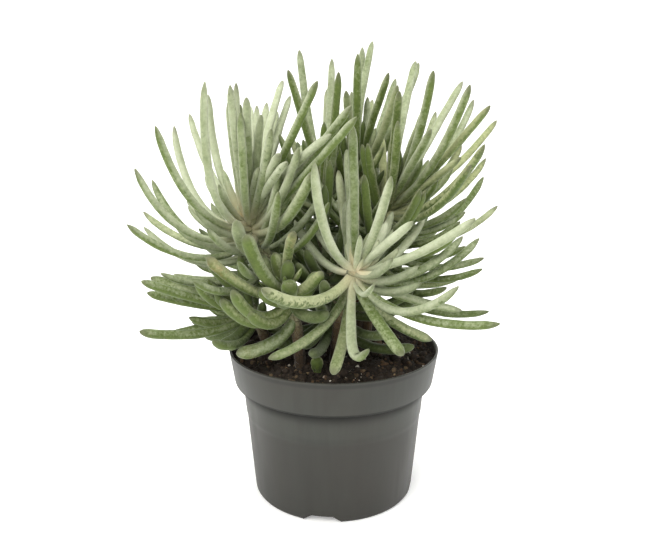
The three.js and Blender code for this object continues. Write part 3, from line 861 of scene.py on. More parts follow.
def add_leaf(paths, leaf, green, look, marks):
    """One leaf of a head: an old one roots low on the stem, is greener and has less felt."""
    curve, down = leaf["curve"], leaf["down"]
    places, share = girth_along(leaf["length"], marks.get("blunt", look["blunt"]))
    age = green + AGE_BY_DEPTH * (down - ROOT_DEPTHS[0]) / ROOT_DEPTHS[1]
    values = {
        "age": within(age + pick.uniform(-AGE_DRAW, AGE_DRAW)),
        "tone": look["tone"] + pick.uniform(-TONE_DRAW, TONE_DRAW),
        "bald": MOST_BALD * pick.random() ** 2,
        "shade": look["own_painted_shade"],
    }
    values.update({name: value for name, value in marks.items() if name in VALUES})
    # Painted shade: a leaf that lies low in the bush gets a larger shade value, which darkens its colour.
    unlit = within((LIT_HEIGHT - bezier(curve, [0.5])[0][2]) / UNLIT_DEPTH)
    values["age"] = min(values["age"] + UNLIT_AGE * unlit, 1)
    values["shade"] = min(values["shade"] + UNLIT_SHADE * unlit, 1)
    wide = LEAF_RADIUS * leaf["girth"] * marks.get("wide", 1) * look["wide"]
    wide *= pick.uniform(1 - GIRTH_DRAW, 1 + GIRTH_DRAW)
    new_wool = max(0, 1 - down / ROOT_DEPTHS[1]) * (1 - green)
    crown = np.clip(1 - places * leaf["length"] / look["crown"], 0, 1) * new_wool
    side = side_of(curve[-1] - curve[0])
    paths.add(bezier(curve, places), side, along=places, girth=wide * share, crown=crown, **values)


# %% The tuft in the crown
YOUNG_COUNT = 9
YOUNG_PLACE = 0.985
YOUNG_OPENING = (12, 46)
YOUNG_LENGTH = (8, 9)
YOUNG_SHARE = (0.42, 0.2)
YOUNG_SAG = 0.12
YOUNG_BLUNT = 0.3


def add_young_leaves(paths, head, green):
    """The youngest leaves, a tuft in the middle of the crown. The outer ones are longer."""
    start = bezier(stem_points(head), [YOUNG_PLACE])[0]
    for k in range(YOUNG_COUNT):
        ranges = (YOUNG_OPENING, YOUNG_LENGTH, YOUNG_SHARE)
        opening, length, size = (least + more * k / YOUNG_COUNT for least, more in ranges)
        way = fan_out(head, math.radians(opening), math.radians(k * GOLDEN_TURN))
        length += pick.uniform(-1, 1)
        curve = leaf_curve(start, way, length, YOUNG_SAG)
        places, share = girth_along(length, YOUNG_BLUNT)
        paths.add(
            bezier(curve, places), side_of(curve[-1] - curve[0]), along=places * 0.9,
            girth=LEAF_RADIUS * size * share, age=green, tone=pick.random(),
            crown=np.clip(1.1 - places, 0, 1) * (1 - green),
        )


# %% The stem's path
STEM_RINGS = 26
HEART_SPREAD = 0.05
HEART_SWELL = HEART_RADIUS - 1.4 - STEM_RADIUS
FOOT_SWELL = 0.12
FOOT_REACH = 0.25
DOME = {0.965: 0.93, 0.98: 0.8, 0.992: 0.6, 0.998: 0.35, 1.0: 0.05}


def add_stem(paths, head):
    """The stem: thicker at its woody foot, and swollen at the heart where the leaves meet."""
    curve = stem_points(head)
    places = np.concatenate([np.linspace(0, 0.93, STEM_RINGS), [0.95], list(DOME)])
    girth = STEM_RADIUS * (1.02 + FOOT_SWELL * np.clip(1 - places / FOOT_REACH, 0, 1))
    girth += HEART_SWELL * np.exp(-(((places - HEART_PLACE) / HEART_SPREAD) ** 2))
    girth[-len(DOME):] *= list(DOME.values())
    side = np.cross(curve[1] - curve[0], curve[2] - curve[1])
    paths.add(
        bezier(curve, places), side / np.linalg.norm(side), along=places, girth=girth,
        age=np.clip(1 - places, 0, 1), tone=pick.random(), bark=1, crown=places**6,
    )


# %% Paths of the heads
guides = {}
for head in HEADS:
    paths = Paths()
    name = head["name"]
    look = {**PLAIN_LOOK, **LOOKS.get(name, {})}
    green = look["green"]
    hooked = int("hooked" in head)
    marks = MARKS.get(name, {})
    for place, leaf in enumerate(head["leaves"]):
        add_leaf(paths, leaf, green, look, marks.get(place - hooked, {}))
    for leaf in head["upright"]:
        add_leaf(paths, leaf, green + UPRIGHT_AGE, look, {})
    for leaf in head["fills"]:
        shade = look["shade"] + pick.uniform(-SHADE_DRAW, SHADE_DRAW)
        add_leaf(paths, leaf, green + FILL_AGE, look, {"shade": shade})
    add_young_leaves(paths, head, green)
    add_stem(paths, head)
    guides[name] = paths.object(name + "_leaves")
print("points on the paths:", sum(len(guide.data.vertices) for guide in guides.values()))

# %% [markdown]
# ## Colour and light values
# Colours are written as the eye reads them on a screen and turned into the linear values that
# Blender's sockets hold. An effect with a noise of its own is made once, as a node group. The first
# is the felt, which leaves and stems share: a coat of fine white wool that is thick on young leaves,
# and thin and patchy on old ones.

# %% Colours and the felt group
def rgb(red, green, blue):
    """A linear colour from screen values of 0 to 255."""
    screen = [value / 255 for value in (red, green, blue)]
    return (*[c / 12.92 if c <= 0.04045 else ((c + 0.055) / 1.055) ** 2.4 for c in screen], 1)


felt_group, t, inputs, out = new_tree(
    "felt coat", "ShaderNodeTree",
    {
        "Place": ("Vector", None),
        "Lie": ("Vector", None),
        "Age": ("Float", 0.2),
        "Tone": ("Float", 0.5),
    },
    {"Cover": "Float", "Pile": "Float", "Mottle": "Float"},
)
shift = t.add("ShaderNodeCombineXYZ", {"X": inputs["Tone"]})
shifted = t.vector_math("ADD", inputs["Place"], shift)
patches = t.noise(shifted, 130, detail=3, roughness=0.6)
mottle = t.noise(shifted, 620, detail=3, roughness=0.65)
combed = t.vector_math("MULTIPLY", inputs["Lie"], (1, 1, 0.22))
pile = t.noise(combed, 2600, detail=3, roughness=0.7)
worn = t.math("MULTIPLY", inputs["Age"], 0.78)
cover = t.math("SUBTRACT", 1.0, worn)
cover = t.math("ADD", cover, t.swing(patches, 0.7))
loose = t.math("MULTIPLY_ADD", inputs["Age"], 1.1, 0.25)
cover = t.math("ADD", cover, t.swing(mottle, loose))
cover = t.math("ADD", cover, t.swing(inputs["Tone"], 0.25), clamp=True)
t.plug(out, "Cover", cover)
t.plug(out, "Pile", pile)
t.plug(out, "Mottle", mottle)


# %% A material's first nodes
def new_material(name, viewport):
    """A material with a Principled shader. Returns the material, its tree and the shader."""
    material = bpy.data.materials.new(name)
    material.use_nodes = True
    material.diffuse_color = viewport
    t = Tree(material.node_tree)
    shader = material.node_tree.nodes["Principled BSDF"]
    return material, t, shader


def value_of(t, name, output="Fac"):
    """A value that the mesh keeps for each point."""
    return t.add("ShaderNodeAttribute", attribute_name=name).outputs[output]


def bump(t, shader, height, distance, strength=1.0, before=None):
    """A fine relief of the surface, in millimetres."""
    inputs = {"Height": height, "Distance": distance * MM, "Strength": strength}
    node = t.add("ShaderNodeBump", inputs)
    if before is not None:
        t.plug(node, "Normal", before)
    t.plug(shader, "Normal", node.outputs[0])
    return node.outputs[0]


def felt_of(t, place):
    """The felt group placed in a material, fed with the values of the mesh."""
    inputs = {"Place": place, "Lie": value_of(t, "lie", "Vector")}
    inputs.update({"Age": value_of(t, "age"), "Tone": value_of(t, "tone")})
    return t.add("ShaderNodeGroup", inputs, node_tree=felt_group).outputs


# %% [markdown]
# ## The leaf's finish
# Under the wool the skin is green. The eye sees a mix: silver where the wool is thick, green where
# it is thin, beige in the crown where new wool is still dense, and grey brown where the tip dries.
# Sheen stands for the light that the wool catches at a leaf's edges. Painted shade shows more green
# skin on the undersides and darkens the bases of the leaves and the leaves inside or low in the
# bush. A painted sheen leaves the edges of each leaf paler than the middles of its sides, and painted
# light brightens the beige of the crown.

# %% The leaf's finish
leaf_skin, t, shader = new_material("silver_leaf", rgb(150, 162, 126))
place = t.add("ShaderNodeTexCoord").outputs["Object"]
felt = felt_of(t, place)
along, tone, crown = value_of(t, "along"), value_of(t, "tone"), value_of(t, "crown")
turned = value_of(t, "around", "Vector")
across, around = t.part(turned, "X"), t.part(turned, "Y")

# Green skin under wool that is bluish on some leaves and yellow on others. Painted shade: the
# undersides lose wool and show more green skin.
skin = t.mix(felt["Mottle"], rgb(62, 80, 32), rgb(108, 124, 58))
wool = t.mix(felt["Pile"], rgb(176, 182, 154), rgb(213, 217, 191))
yellow = t.mix(felt["Pile"], rgb(168, 170, 112), rgb(200, 200, 146))
wool = t.mix(t.remap(tone, 0.45, 1.0, 0.0, 0.65), wool, yellow)
lower = t.remap(around, 0.3, -0.9, 0.0, 0.6)
lower = t.math("MULTIPLY", lower, t.math("MULTIPLY_ADD", value_of(t, "age"), 0.8, 0.25))
# Painted sheen: the middle of each side shows more green skin than its two edges, which stay paler.
face = t.math("SUBTRACT", 1.0, t.math("POWER", t.math("ABSOLUTE", across), 2.0))
cover = t.math("SUBTRACT", felt["Cover"], t.math("MULTIPLY", face, 0.24))
cover = t.math("SUBTRACT", cover, lower, clamp=True)
colour = t.mix(t.math("MULTIPLY", cover, 0.92), skin, wool)

# Bald blotches: rubbed places where the dark skin lies bare, most on the lower half.
spread = t.noise(place, 480, detail=3, roughness=0.6)
spread = t.math("ADD", spread, t.remap(around, 1.0, -1.0, -0.1, 0.12))
edge = t.math("SUBTRACT", 0.78, t.math("MULTIPLY", value_of(t, "bald"), 0.3))
blotch = t.math("MULTIPLY", t.math("SUBTRACT", spread, edge), 8.0, clamp=True)
blotch = t.math("MULTIPLY", blotch, t.remap(along, 0.1, 0.35, 0.0, 0.85))
colour = t.mix(blotch, colour, t.mix(felt["Pile"], rgb(58, 74, 34), rgb(88, 106, 50)))

# Rusty scabs sit near the tips of a few old leaves.
scab = t.swing(t.noise(place, 420, detail=4, roughness=0.7), 2.4)
scab = t.math("ADD", scab, t.remap(along, 0.5, 0.85, -0.4, 0.3), clamp=True)
scab = t.math("MULTIPLY", scab, value_of(t, "rust"), clamp=True)
colour = t.mix(scab, colour, t.mix(felt["Mottle"], rgb(122, 92, 58), rgb(176, 152, 110)))

# New wool in the crown is beige, and a tip dries to grey brown. Painted shade darkens the base of a
# leaf and each leaf by its shade value, most inside or low in the bush.
# Painted light: the crown's beige is brighter than the wool itself, where the heart of the head lies in
# shade.
colour = t.mix(t.math("MULTIPLY", t.remap(crown, 0.0, 0.8), 0.8), colour, rgb(222, 208, 176))
tip = t.math("MULTIPLY", t.remap(along, 0.9, 1.0), t.remap(tone, 0.1, 0.7, 0.45, 0.8))
colour = t.mix(tip, colour, rgb(96, 98, 74))
root = t.math("MULTIPLY", t.remap(along, 0.35, 0.0, 0.0, 0.35), t.remap(crown, 0.0, 0.3, 1.0, 0.0))
painted_leaf_shade = t.math("MAXIMUM", t.math("MULTIPLY", value_of(t, "shade"), 0.6), root)
colour = t.mix(painted_leaf_shade, colour, rgb(66, 78, 42))
t.plug(shader, "Base Color", colour)
t.plug(shader, "Roughness", t.remap(cover, 0.0, 1.0, 0.6, 0.95))
shader.inputs["Specular IOR Level"].default_value = 0.25
shader.inputs["Sheen Weight"].default_value = 0.3
shader.inputs["Sheen Roughness"].default_value = 0.45
shader.inputs["Sheen Tint"].default_value = rgb(232, 236, 222)
relief = bump(t, shader, felt["Pile"], 0.22, 0.6)
relief = bump(t, shader, felt["Mottle"], 0.35, 0.5, relief)
bump(t, shader, blotch, -0.15, 0.6, relief)

# %% [markdown]
# ## The stem's finish
# A stem is felted and olive grey near its crown, beige at its top, and turns brown and corky
# towards the soil, where old leaves have dropped and left their scars. Painted shade darkens its foot.

# %% The stem's finish
stem_bark, t, shader = new_material("stem_bark", rgb(120, 116, 84))
place = t.add("ShaderNodeTexCoord").outputs["Object"]
felt = felt_of(t, place)
along = value_of(t, "along")
cork = t.mix(felt["Mottle"], rgb(70, 54, 36), rgb(118, 98, 70))
young = t.mix(felt["Mottle"], rgb(112, 116, 78), rgb(168, 170, 138))
height = t.math("ADD", along, t.swing(felt["Cover"], 0.25))
colour = t.mix(t.remap(height, 0.3, 0.85), cork, young)
# Painted shade: the stem darkens towards the soil, under the leaves.
foot = t.remap(t.part(place, "Z"), 0.110, 0.084, 0.0, 0.75)
colour = t.mix(foot, colour, rgb(46, 36, 27))
scars = t.add("ShaderNodeTexVoronoi", {"Vector": place, "Scale": 260}, feature="DISTANCE_TO_EDGE")
ring = t.remap(scars.outputs[0], 0.02, 0.12)
colour = t.mix(t.math("MULTIPLY", t.math("SUBTRACT", 1.0, ring), 0.5), colour, rgb(66, 52, 34))
colour = t.mix(t.remap(value_of(t, "crown"), 0.6, 0.9), colour, rgb(196, 184, 150))
t.plug(shader, "Base Color", colour)
shader.inputs["Roughness"].default_value = 0.9
shader.inputs["Specular IOR Level"].default_value = 0.2
shader.inputs["Sheen Weight"].default_value = 0.2
relief = bump(t, shader, ring, 0.5, 0.7)
bump(t, shader, felt["Pile"], 0.25, 0.7, relief)

# %% [markdown]
# ## The tree that sweeps the fingers
# The node tree turns each path into a curve, bends it a little by noise so that no two leaves are
# the same, and sweeps a cross-section along it. The section is slightly flat with a shallow groove
# on its upper side, as on the real leaf. Dents along the surface break up the even tube. It keeps,
# for each point, where it lies on its leaf, and the materials read that.

# %% The tree that sweeps the fingers
finger_tree, t, inputs, out = new_tree(
    "Fingers", "GeometryNodeTree",
    {
        "Paths": ("Geometry", None),
        "Sides": ("Int", 14),
        "Waver": ("Float", 0.0012),
        "Dents": ("Float", 0.0003),
        "Groove": ("Float", 0.07),
        "Leaf finish": ("Material", None),
        "Stem finish": ("Material", None),
    },
    {"Mesh": "Geometry"},
)


def named(t, name, kind="FLOAT"):
    """A value of the mesh, read inside a geometry tree."""
    return t.add("GeometryNodeInputNamedAttribute", {"Name": name}, data_type=kind).outputs[0]


def keep(t, geometry, name, value, kind="FLOAT"):
    """Stores a value for each point of a geometry, under a name."""
    inputs = {"Geometry": geometry, "Name": name, "Value": value}
    return t.add("GeometryNodeStoreNamedAttribute", inputs, data_type=kind).outputs[0]


where = t.add("GeometryNodeInputPosition").outputs[0]
along = named(t, "along")
curve = t.add("GeometryNodeMeshToCurve", {"Mesh": inputs["Paths"]})
drift = t.add("ShaderNodeTexNoise", {"Vector": where, "Scale": 28.0, "Detail": 1.0})
drift = t.vector_math("SUBTRACT", drift.outputs["Color"], (0.5, 0.5, 0.5))
loose = t.math("MULTIPLY", inputs["Waver"], t.remap(along, 0.1, 0.7))
drift = t.vector_math("SCALE", drift, loose)
curve = t.add("GeometryNodeSetPosition", {"Geometry": curve, "Offset": drift})
reach = t.add("GeometryNodeSplineParameter").outputs["Length"]
curve = keep(t, curve, "reach", reach)
curve = t.add("GeometryNodeSetCurveNormal", {"Curve": curve}, mode="FREE")
t.plug(curve, "Normal", named(t, "side", "FLOAT_VECTOR"))
ring = t.add("GeometryNodeCurvePrimitiveCircle", {"Resolution": inputs["Sides"], "Radius": 1.0})
ring = keep(t, ring, "around", where, "FLOAT_VECTOR")
across, up = t.part(where, "X"), t.part(where, "Y")
middle = t.math("SUBTRACT", 1.0, t.math("ABSOLUTE", t.math("MULTIPLY", across, 1.6), clamp=True))
upper = t.math("MAXIMUM", up, 0.0)
sunk = t.math("MULTIPLY", t.math("MULTIPLY", middle, upper), inputs["Groove"])
flat = t.math("SUBTRACT", t.math("MULTIPLY", up, 0.95), sunk)
section = t.add("ShaderNodeCombineXYZ", {"X": t.math("MULTIPLY", across, 1.03), "Y": flat})
ring = t.add("GeometryNodeSetPosition", {"Geometry": ring, "Position": section})
body = t.add("GeometryNodeCurveToMesh", {"Curve": curve, "Profile Curve": ring, "Fill Caps": True})
t.plug(body, "Scale", named(t, "girth"))
round_place = t.vector_math("SCALE", named(t, "around", "FLOAT_VECTOR"), named(t, "girth"))
along_place = t.add("ShaderNodeCombineXYZ", {"Z": named(t, "reach")})
body = keep(t, body, "lie", t.vector_math("ADD", round_place, along_place), "FLOAT_VECTOR")
rough = t.noise(where, 170, detail=2)
outwards = t.add("GeometryNodeInputNormal").outputs[0]
push = t.vector_math("SCALE", outwards, t.math("MULTIPLY", t.swing(rough, 2.0), inputs["Dents"]))
body = t.add("GeometryNodeSetPosition", {"Geometry": body, "Offset": push})
body = t.add("GeometryNodeMergeByDistance", {"Geometry": body, "Distance": 0.00003})
body = t.add("GeometryNodeSetShadeSmooth", {"Geometry": body})
is_stem = t.add("FunctionNodeCompare", {0: named(t, "bark"), 1: 0.5}, operation="GREATER_THAN")
body = t.add("GeometryNodeRealizeInstances", {"Geometry": body})
body = t.add("GeometryNodeSetMaterial", {"Geometry": body, "Material": inputs["Leaf finish"]})
stems = {"Geometry": body, "Selection": is_stem, "Material": inputs["Stem finish"]}
t.plug(out, "Mesh", t.add("GeometryNodeSetMaterial", stems))


# %% Sweeping every head
def sweep_fingers(guide):
    """The fingers that follow the paths of a guide, with their finishes."""
    return grow(guide, finger_tree, leaf_finish=leaf_skin, stem_finish=stem_bark)


for head in HEADS:
    name = head["name"]
    piece = sweep_fingers(guides[name])
    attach(piece, "root")
    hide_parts(name)
    print(name, "triangles:", triangles(piece))

# %% [markdown]
# ## The pot
# A nursery pot is moulded in one shot of thin plastic: a deep collar to lift it by, a faint shoulder
# below, and a foot with channels that let water out. It is round, so one outline turned about the
# axis gives the wall. Each corner of the outline is a radius, a height and how far it is rounded,
# because a mould has no sharp corners and a rounded edge catches the light.

# %% The pot's outline
WALL = 1.2
COLLAR_BOTTOM = 66
COLLAR_FOOT_RADIUS = 57
COLLAR_LIP = 1.2
BODY_TOP_RADIUS = 52.6
SHOULDER_RADIUS = 51.2
SHOULDER_BOTTOM = 48
SHOULDER_STEP = 0.6
FOOT_RADIUS = 46.9
FLOOR_TOP = 1.6
POT_SIDES = 160
OUTSIDE = [
    (0, 0, 0),
    (FOOT_RADIUS - 0.3, 0, 1.8),
    (SHOULDER_RADIUS - SHOULDER_STEP, SHOULDER_BOTTOM - 1.2, 1.4),
    (SHOULDER_RADIUS, SHOULDER_BOTTOM + SHOULDER_STEP + 0.8, 1.4),
    (BODY_TOP_RADIUS, COLLAR_BOTTOM - 0.6, 1.0),
    (COLLAR_FOOT_RADIUS, COLLAR_BOTTOM + 0.2, 2.2),
    (RIM_RADIUS, POT_HEIGHT, 0.4),
]
INSIDE = [
    (RIM_RADIUS - WALL, POT_HEIGHT, 0.4),
    (COLLAR_FOOT_RADIUS - WALL, COLLAR_BOTTOM + COLLAR_LIP, 0.4),
    (BODY_TOP_RADIUS - WALL, COLLAR_BOTTOM - SHOULDER_STEP, 0.4),
    (FOOT_RADIUS - WALL, FLOOR_TOP + 1, 0.5),
    (FOOT_RADIUS - WALL - 1, FLOOR_TOP, 0.3),
    (0, FLOOR_TOP, 0),
]


def rounded(outline, steps=4):
    """An outline of (radius, height, rounding) with each corner turned into a short arc."""
    rows = [np.array(corner[:2], float) for corner in outline]
    result = [rows[0]]
    for before, here, after, (_, _, size) in zip(rows, rows[1:], rows[2:], outline[1:]):
        start = here + (before - here) * min(size / np.linalg.norm(before - here), 0.45)
        end = here + (after - here) * min(size / np.linalg.norm(after - here), 0.45)
        result += list(bezier([start, here, end], np.linspace(0, 1, steps + 1)))
    return result + [rows[-1]]


def lathe(name, outline, sides, finish_of=lambda k: 0):
    """A closed shell: the outline turned about the pot's axis. Its ends lie on the axis."""
    turns = [2 * math.pi * k / sides for k in range(sides)]
    ring = [(math.cos(turn), math.sin(turn)) for turn in turns]
    points = [(0, 0, outline[0][1] * MM)]
    points += [(r * x * MM, r * y * MM, z * MM) for r, z in outline[1:-1] for x, y in ring]
    points.append((0, 0, outline[-1][1] * MM))
    last = len(points) - 1
    faces, finishes = [], []
    for k in range(sides):
        after = (k + 1) % sides
        faces.append((0, 1 + after, 1 + k))
        finishes.append(finish_of(0))
        for row in range(len(outline) - 3):
            here, there = 1 + row * sides, 1 + (row + 1) * sides
            faces.append((here + k, here + after, there + after, there + k))
            finishes.append(finish_of(row + 1))
        faces.append((last, last - sides + k, last - sides + after))
        finishes.append(finish_of(len(outline) - 2))
    thing = mesh_object(name, points, faces)
    thing.data.polygons.foreach_set("material_index", finishes)
    return thing


outer_rows = len(rounded(OUTSIDE + [INSIDE[0]])) - 1
wall = rounded(OUTSIDE + INSIDE)
pot = lathe("pot_wall", wall, POT_SIDES, lambda row: int(row >= outer_rows))
print("rings of the pot:", len(wall))

# %% [markdown]
# ## Drainage channels
# Four channels run out under the floor, each with a drain hole above it, and end as notches in the
# foot. They are cut by a Boolean modifier: first a thicker bar is added for the channel's roof, and
# then the channel and its hole are taken away.

# %% Drainage channels
CHANNELS = 4
FIRST_CHANNEL = 262
CHANNEL_WIDTH = 20
CHANNEL_ROOF_WIDTH = 12
CHANNEL_HEIGHT = 3.8
CHANNEL_START = 20
DRAIN_RADIUS = 4.5
DRAIN_CIRCLE = 31
DRAIN_DEPTH = 20
DRAIN_SIDES = 32
ROOF_END = FOOT_RADIUS - 0.5
CHANNEL_END = FOOT_RADIUS + 5
WALL_SLOPE = (SHOULDER_RADIUS - FOOT_RADIUS) / SHOULDER_BOTTOM


def channel_bar(name, grown_by, end, turn):
    """A bar with sloping sides that runs outwards along a bearing and ends on a circle."""
    low, high = CHANNEL_WIDTH / 2 + grown_by, CHANNEL_ROOF_WIDTH / 2 + grown_by
    roof = CHANNEL_HEIGHT + grown_by
    if grown_by:
        half = [(low - 0.5, 0.2), (low - 0.2, 0.9), (high, roof)]
    else:
        # The channel itself flares where it meets the foot, and its roof has worn corners.
        half = [(low + 1.4, -1), (low + 0.6, 0.3), (low - 0.3, 1.0)]
        half += [(high + 0.9, roof - 0.7), (high - 0.3, roof)]
    outline = half + [(-across, up) for across, up in reversed(half)]
    c, s = math.cos(turn), math.sin(turn)
    points = []
    for first in (True, False):
        for across, up in outline:
            out = CHANNEL_START - grown_by
            if not first:
                out = math.sqrt((end + up * WALL_SLOPE) ** 2 - across**2)
            points.append(Vector((out * c - across * s, out * s + across * c, up)) * MM)
    n = len(outline)
    faces = [tuple(reversed(range(n))), tuple(range(n, 2 * n))]
    faces += [(k, (k + 1) % n, (k + 1) % n + n, k + n) for k in range(n)]
    bar = mesh_object(name, points, faces)
    tidy(bar)
    return bar


def drain_plug(name, turn):
    """A round plug where a drain hole is cut."""
    work = bmesh.new()
    radius = DRAIN_RADIUS * MM
    size = {"radius1": radius, "radius2": radius, "depth": DRAIN_DEPTH * MM}
    bmesh.ops.create_cone(work, cap_ends=True, segments=DRAIN_SIDES, **size)
    where = Vector((math.cos(turn), math.sin(turn), 0)) * DRAIN_CIRCLE * MM
    bmesh.ops.translate(work, verts=work.verts, vec=where)
    mesh = bpy.data.meshes.new(name)
    work.to_mesh(mesh)
    work.free()
    return new_object(name, mesh)


def carve(thing, added, cut):
    """Joins the added tools to a thing and then cuts the others out of it."""
    for operation, tools in (("UNION", added), ("DIFFERENCE", cut)):
        for tool in tools:
            modifier = thing.modifiers.new(tool.name, "BOOLEAN")
            modifier.operation = operation
            modifier.object = tool
            modifier.solver = "EXACT"
    apply_modifiers(thing)
    for tool in (*added, *cut):
        bpy.data.objects.remove(tool)


bearings = [math.radians(FIRST_CHANNEL + k * 360 / CHANNELS) for k in range(CHANNELS)]
roofs = [channel_bar(f"roof_{k}", WALL, ROOF_END, turn) for k, turn in enumerate(bearings)]
holes = [channel_bar(f"channel_{k}", 0, CHANNEL_END, turn) for k, turn in enumerate(bearings)]
holes += [drain_plug(f"drain_{k}", turn) for k, turn in enumerate(bearings)]
carve(pot, roofs, holes)
tidy(pot, merge=0.005, sharp=35)
print("triangles of the carved pot:", triangles(pot))

# %% [markdown]
# ## The pot's finish
# Recycled plastic is never one clean grey. It has faint flow streaks from the mould, a grain so fine
# that it only softens the gloss, scuffs where pots rub together and dried splashes of soil near the
# foot. Painted shade darkens a band under the overhang of the collar and a thin line under the rim,
# and a painted highlight lightens a soft band above the shoulder. The splashes are a group of their
# own, which keeps their cloud and grain apart from the plastic.

# %% The dust group
dust_group, t, inputs, out = new_tree(
    "soil dust", "ShaderNodeTree",
    {"Place": ("Vector", None), "Amount": ("Float", 0.3), "Grain": ("Float", 900.0)},
    {"Mask": "Float"},
)
cloud = t.noise(inputs["Place"], 45, detail=4, roughness=0.6)
grain = t.noise(inputs["Place"], inputs["Grain"], detail=2, roughness=0.7)
mask = t.math("ADD", t.math("MULTIPLY", cloud, 0.55), t.math("MULTIPLY", grain, 0.45))
edge = t.math("SUBTRACT", 0.78, t.math("MULTIPLY", inputs["Amount"], 0.5))
mask = t.math("MULTIPLY", t.remap(t.math("SUBTRACT", mask, edge), 0.0, 0.07), inputs["Amount"])
t.plug(out, "Mask", t.math("MINIMUM", t.math("MULTIPLY", mask, 2.0), 1.0))


def dust_of(t, place, amount):
    """The dust group placed in a material. Returns its mask."""
    inputs = {"Place": place, "Amount": amount}
    return t.add("ShaderNodeGroup", inputs, node_tree=dust_group).outputs["Mask"]


def band(t, height, rise, fall, strength=1.0):
    """A level band that fades in between two heights and out between two others, in millimetres."""
    fade_in = t.remap(height, rise[0] * MM, rise[1] * MM, 0.0, strength)
    return t.math("MULTIPLY", fade_in, t.remap(height, fall[0] * MM, fall[1] * MM))


# %% The pot's finish
pot_plastic, t, shader = new_material("pot_plastic", rgb(95, 97, 90))
place = t.add("ShaderNodeTexCoord").outputs["Object"]
height = t.part(place, "Z")
streaky = t.vector_math("MULTIPLY", place, (1, 1, 0.12))
streak = t.noise(streaky, 90, detail=3, roughness=0.6, distortion=0.4)
cloudy = t.noise(place, 22, detail=3, roughness=0.5)
grain = t.noise(place, 1900, detail=2)
colour = t.mix(t.remap(streak, 0.3, 0.7), rgb(43, 44, 39), rgb(53, 55, 50))
colour = t.mix(t.math("MULTIPLY", t.remap(cloudy, 0.35, 0.7), 0.5), colour, rgb(52, 49, 43))
lower = t.remap(height, 0.050, 0.046, 0.0, 0.45)
colour = t.mix(lower, colour, rgb(45, 42, 38))
# Painted highlight: a soft lighter band above the shoulder, where the wall catches the light.
painted_shoulder_highlight = band(t, height, (49, 53), (61, 56))
colour = t.mix(t.math("MULTIPLY", painted_shoulder_highlight, 0.2), colour, rgb(66, 67, 61))
# Painted shade: a dark band under the overhang of the collar, which thins out below it.
painted_collar_shade = band(t, height, (58.6, 65.4), (68.2, 66.6), 0.87)
colour = t.mix(painted_collar_shade, colour, rgb(12, 12, 9))
# Painted shade: a thin dark line just under the rim's lip.
painted_rim_shade = band(t, height, (82.2, 83.8), (85.4, 84.6), 0.45)
colour = t.mix(painted_rim_shade, colour, rgb(16, 16, 14))
scuffed = t.vector_math("MULTIPLY", place, (1, 1, 6))
scuff = t.remap(t.noise(scuffed, 160, detail=5, roughness=0.75), 0.63, 0.72)
colour = t.mix(t.math("MULTIPLY", scuff, 0.25), colour, rgb(80, 80, 74))
low_dust = t.remap(height, 0.030, 0.0, 0.05, 0.35)
dust = dust_of(t, place, low_dust)
colour = t.mix(t.math("MULTIPLY", dust, 0.6), colour, rgb(98, 84, 68))
t.plug(shader, "Base Color", colour)
gloss = t.math("ADD", t.remap(streak, 0.3, 0.7, 0.42, 0.52), t.math("MULTIPLY", scuff, 0.15))
gloss = t.math("ADD", gloss, t.math("MULTIPLY", painted_collar_shade, 0.35))
t.plug(shader, "Roughness", t.math("ADD", gloss, t.math("MULTIPLY", dust, 0.3)))
shader.inputs["Specular IOR Level"].default_value = 0.34
relief = bump(t, shader, grain, 0.05, 0.5)
bump(t, shader, streak, 0.25, 0.35, relief)

# %% The stained inner wall
pot_inside, t, shader = new_material("pot_inside", rgb(60, 54, 48))
place = t.add("ShaderNodeTexCoord").outputs["Object"]
stain = t.noise(place, 160, detail=4, roughness=0.65)
level = t.math("ADD", t.part(place, "Z"), t.swing(stain, 0.006))
colour = t.mix(t.remap(level, 0.0858, 0.0835), rgb(88, 88, 82), rgb(46, 36, 30))
t.plug(shader, "Base Color", colour)
t.plug(shader, "Roughness", t.remap(level, 0.086, 0.083, 0.5, 0.9))
bump(t, shader, t.noise(place, 900, detail=3), 0.2, 0.6)

pot.data.materials.append(pot_plastic)
pot.data.materials.append(pot_inside)
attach(pot, "root")
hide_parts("pot")
print("materials of the pot:", [material.name for material in pot.data.materials])

# %% [markdown]
# ## The soil
# Potting soil is a dark mass of peat with bark, and white crumbs of perlite that keep it airy. The
# body is turned like the pot, with many rings on top. Geometry Nodes then raise clods on its
# surface, and scatter crumbs of three kinds over it: peat, bark and perlite.

# %% The body of the soil
SOIL_GAP = 0.6
SOIL_FLOOR = CHANNEL_HEIGHT + WALL + 0.3
TOP_RINGS = 64
SOIL_SIDES = 176
climb = (SOIL_TOP - COLLAR_BOTTOM - COLLAR_LIP) / (POT_HEIGHT - COLLAR_BOTTOM - COLLAR_LIP)
SOIL_EDGE = COLLAR_FOOT_RADIUS + (RIM_RADIUS - COLLAR_FOOT_RADIUS) * climb - WALL - 0.1
soil_outline = [
    (0, SOIL_FLOOR),
    (FOOT_RADIUS - WALL - SOIL_GAP, SOIL_FLOOR),
    (SHOULDER_RADIUS - SHOULDER_STEP - WALL - SOIL_GAP, SHOULDER_BOTTOM),
    (BODY_TOP_RADIUS - WALL - SOIL_GAP, COLLAR_BOTTOM - SHOULDER_STEP),
    (COLLAR_FOOT_RADIUS - WALL - SOIL_GAP, COLLAR_BOTTOM + COLLAR_LIP),
]
soil_outline += [(SOIL_EDGE * (1 - ring / TOP_RINGS), SOIL_TOP) for ring in range(TOP_RINGS)]
soil_outline.append((0, SOIL_TOP))
soil = lathe("soil_mass", soil_outline, SOIL_SIDES)
points = np.array([vertex.co[:] for vertex in soil.data.vertices]) / MM
top = points[:, 2] > SOIL_TOP - 0.01
points[top, 2] = soil_height(points[top, 0], points[top, 1])
soil.data.vertices.foreach_set("co", (points * MM).ravel())
store(soil, "top", top.astype(float))

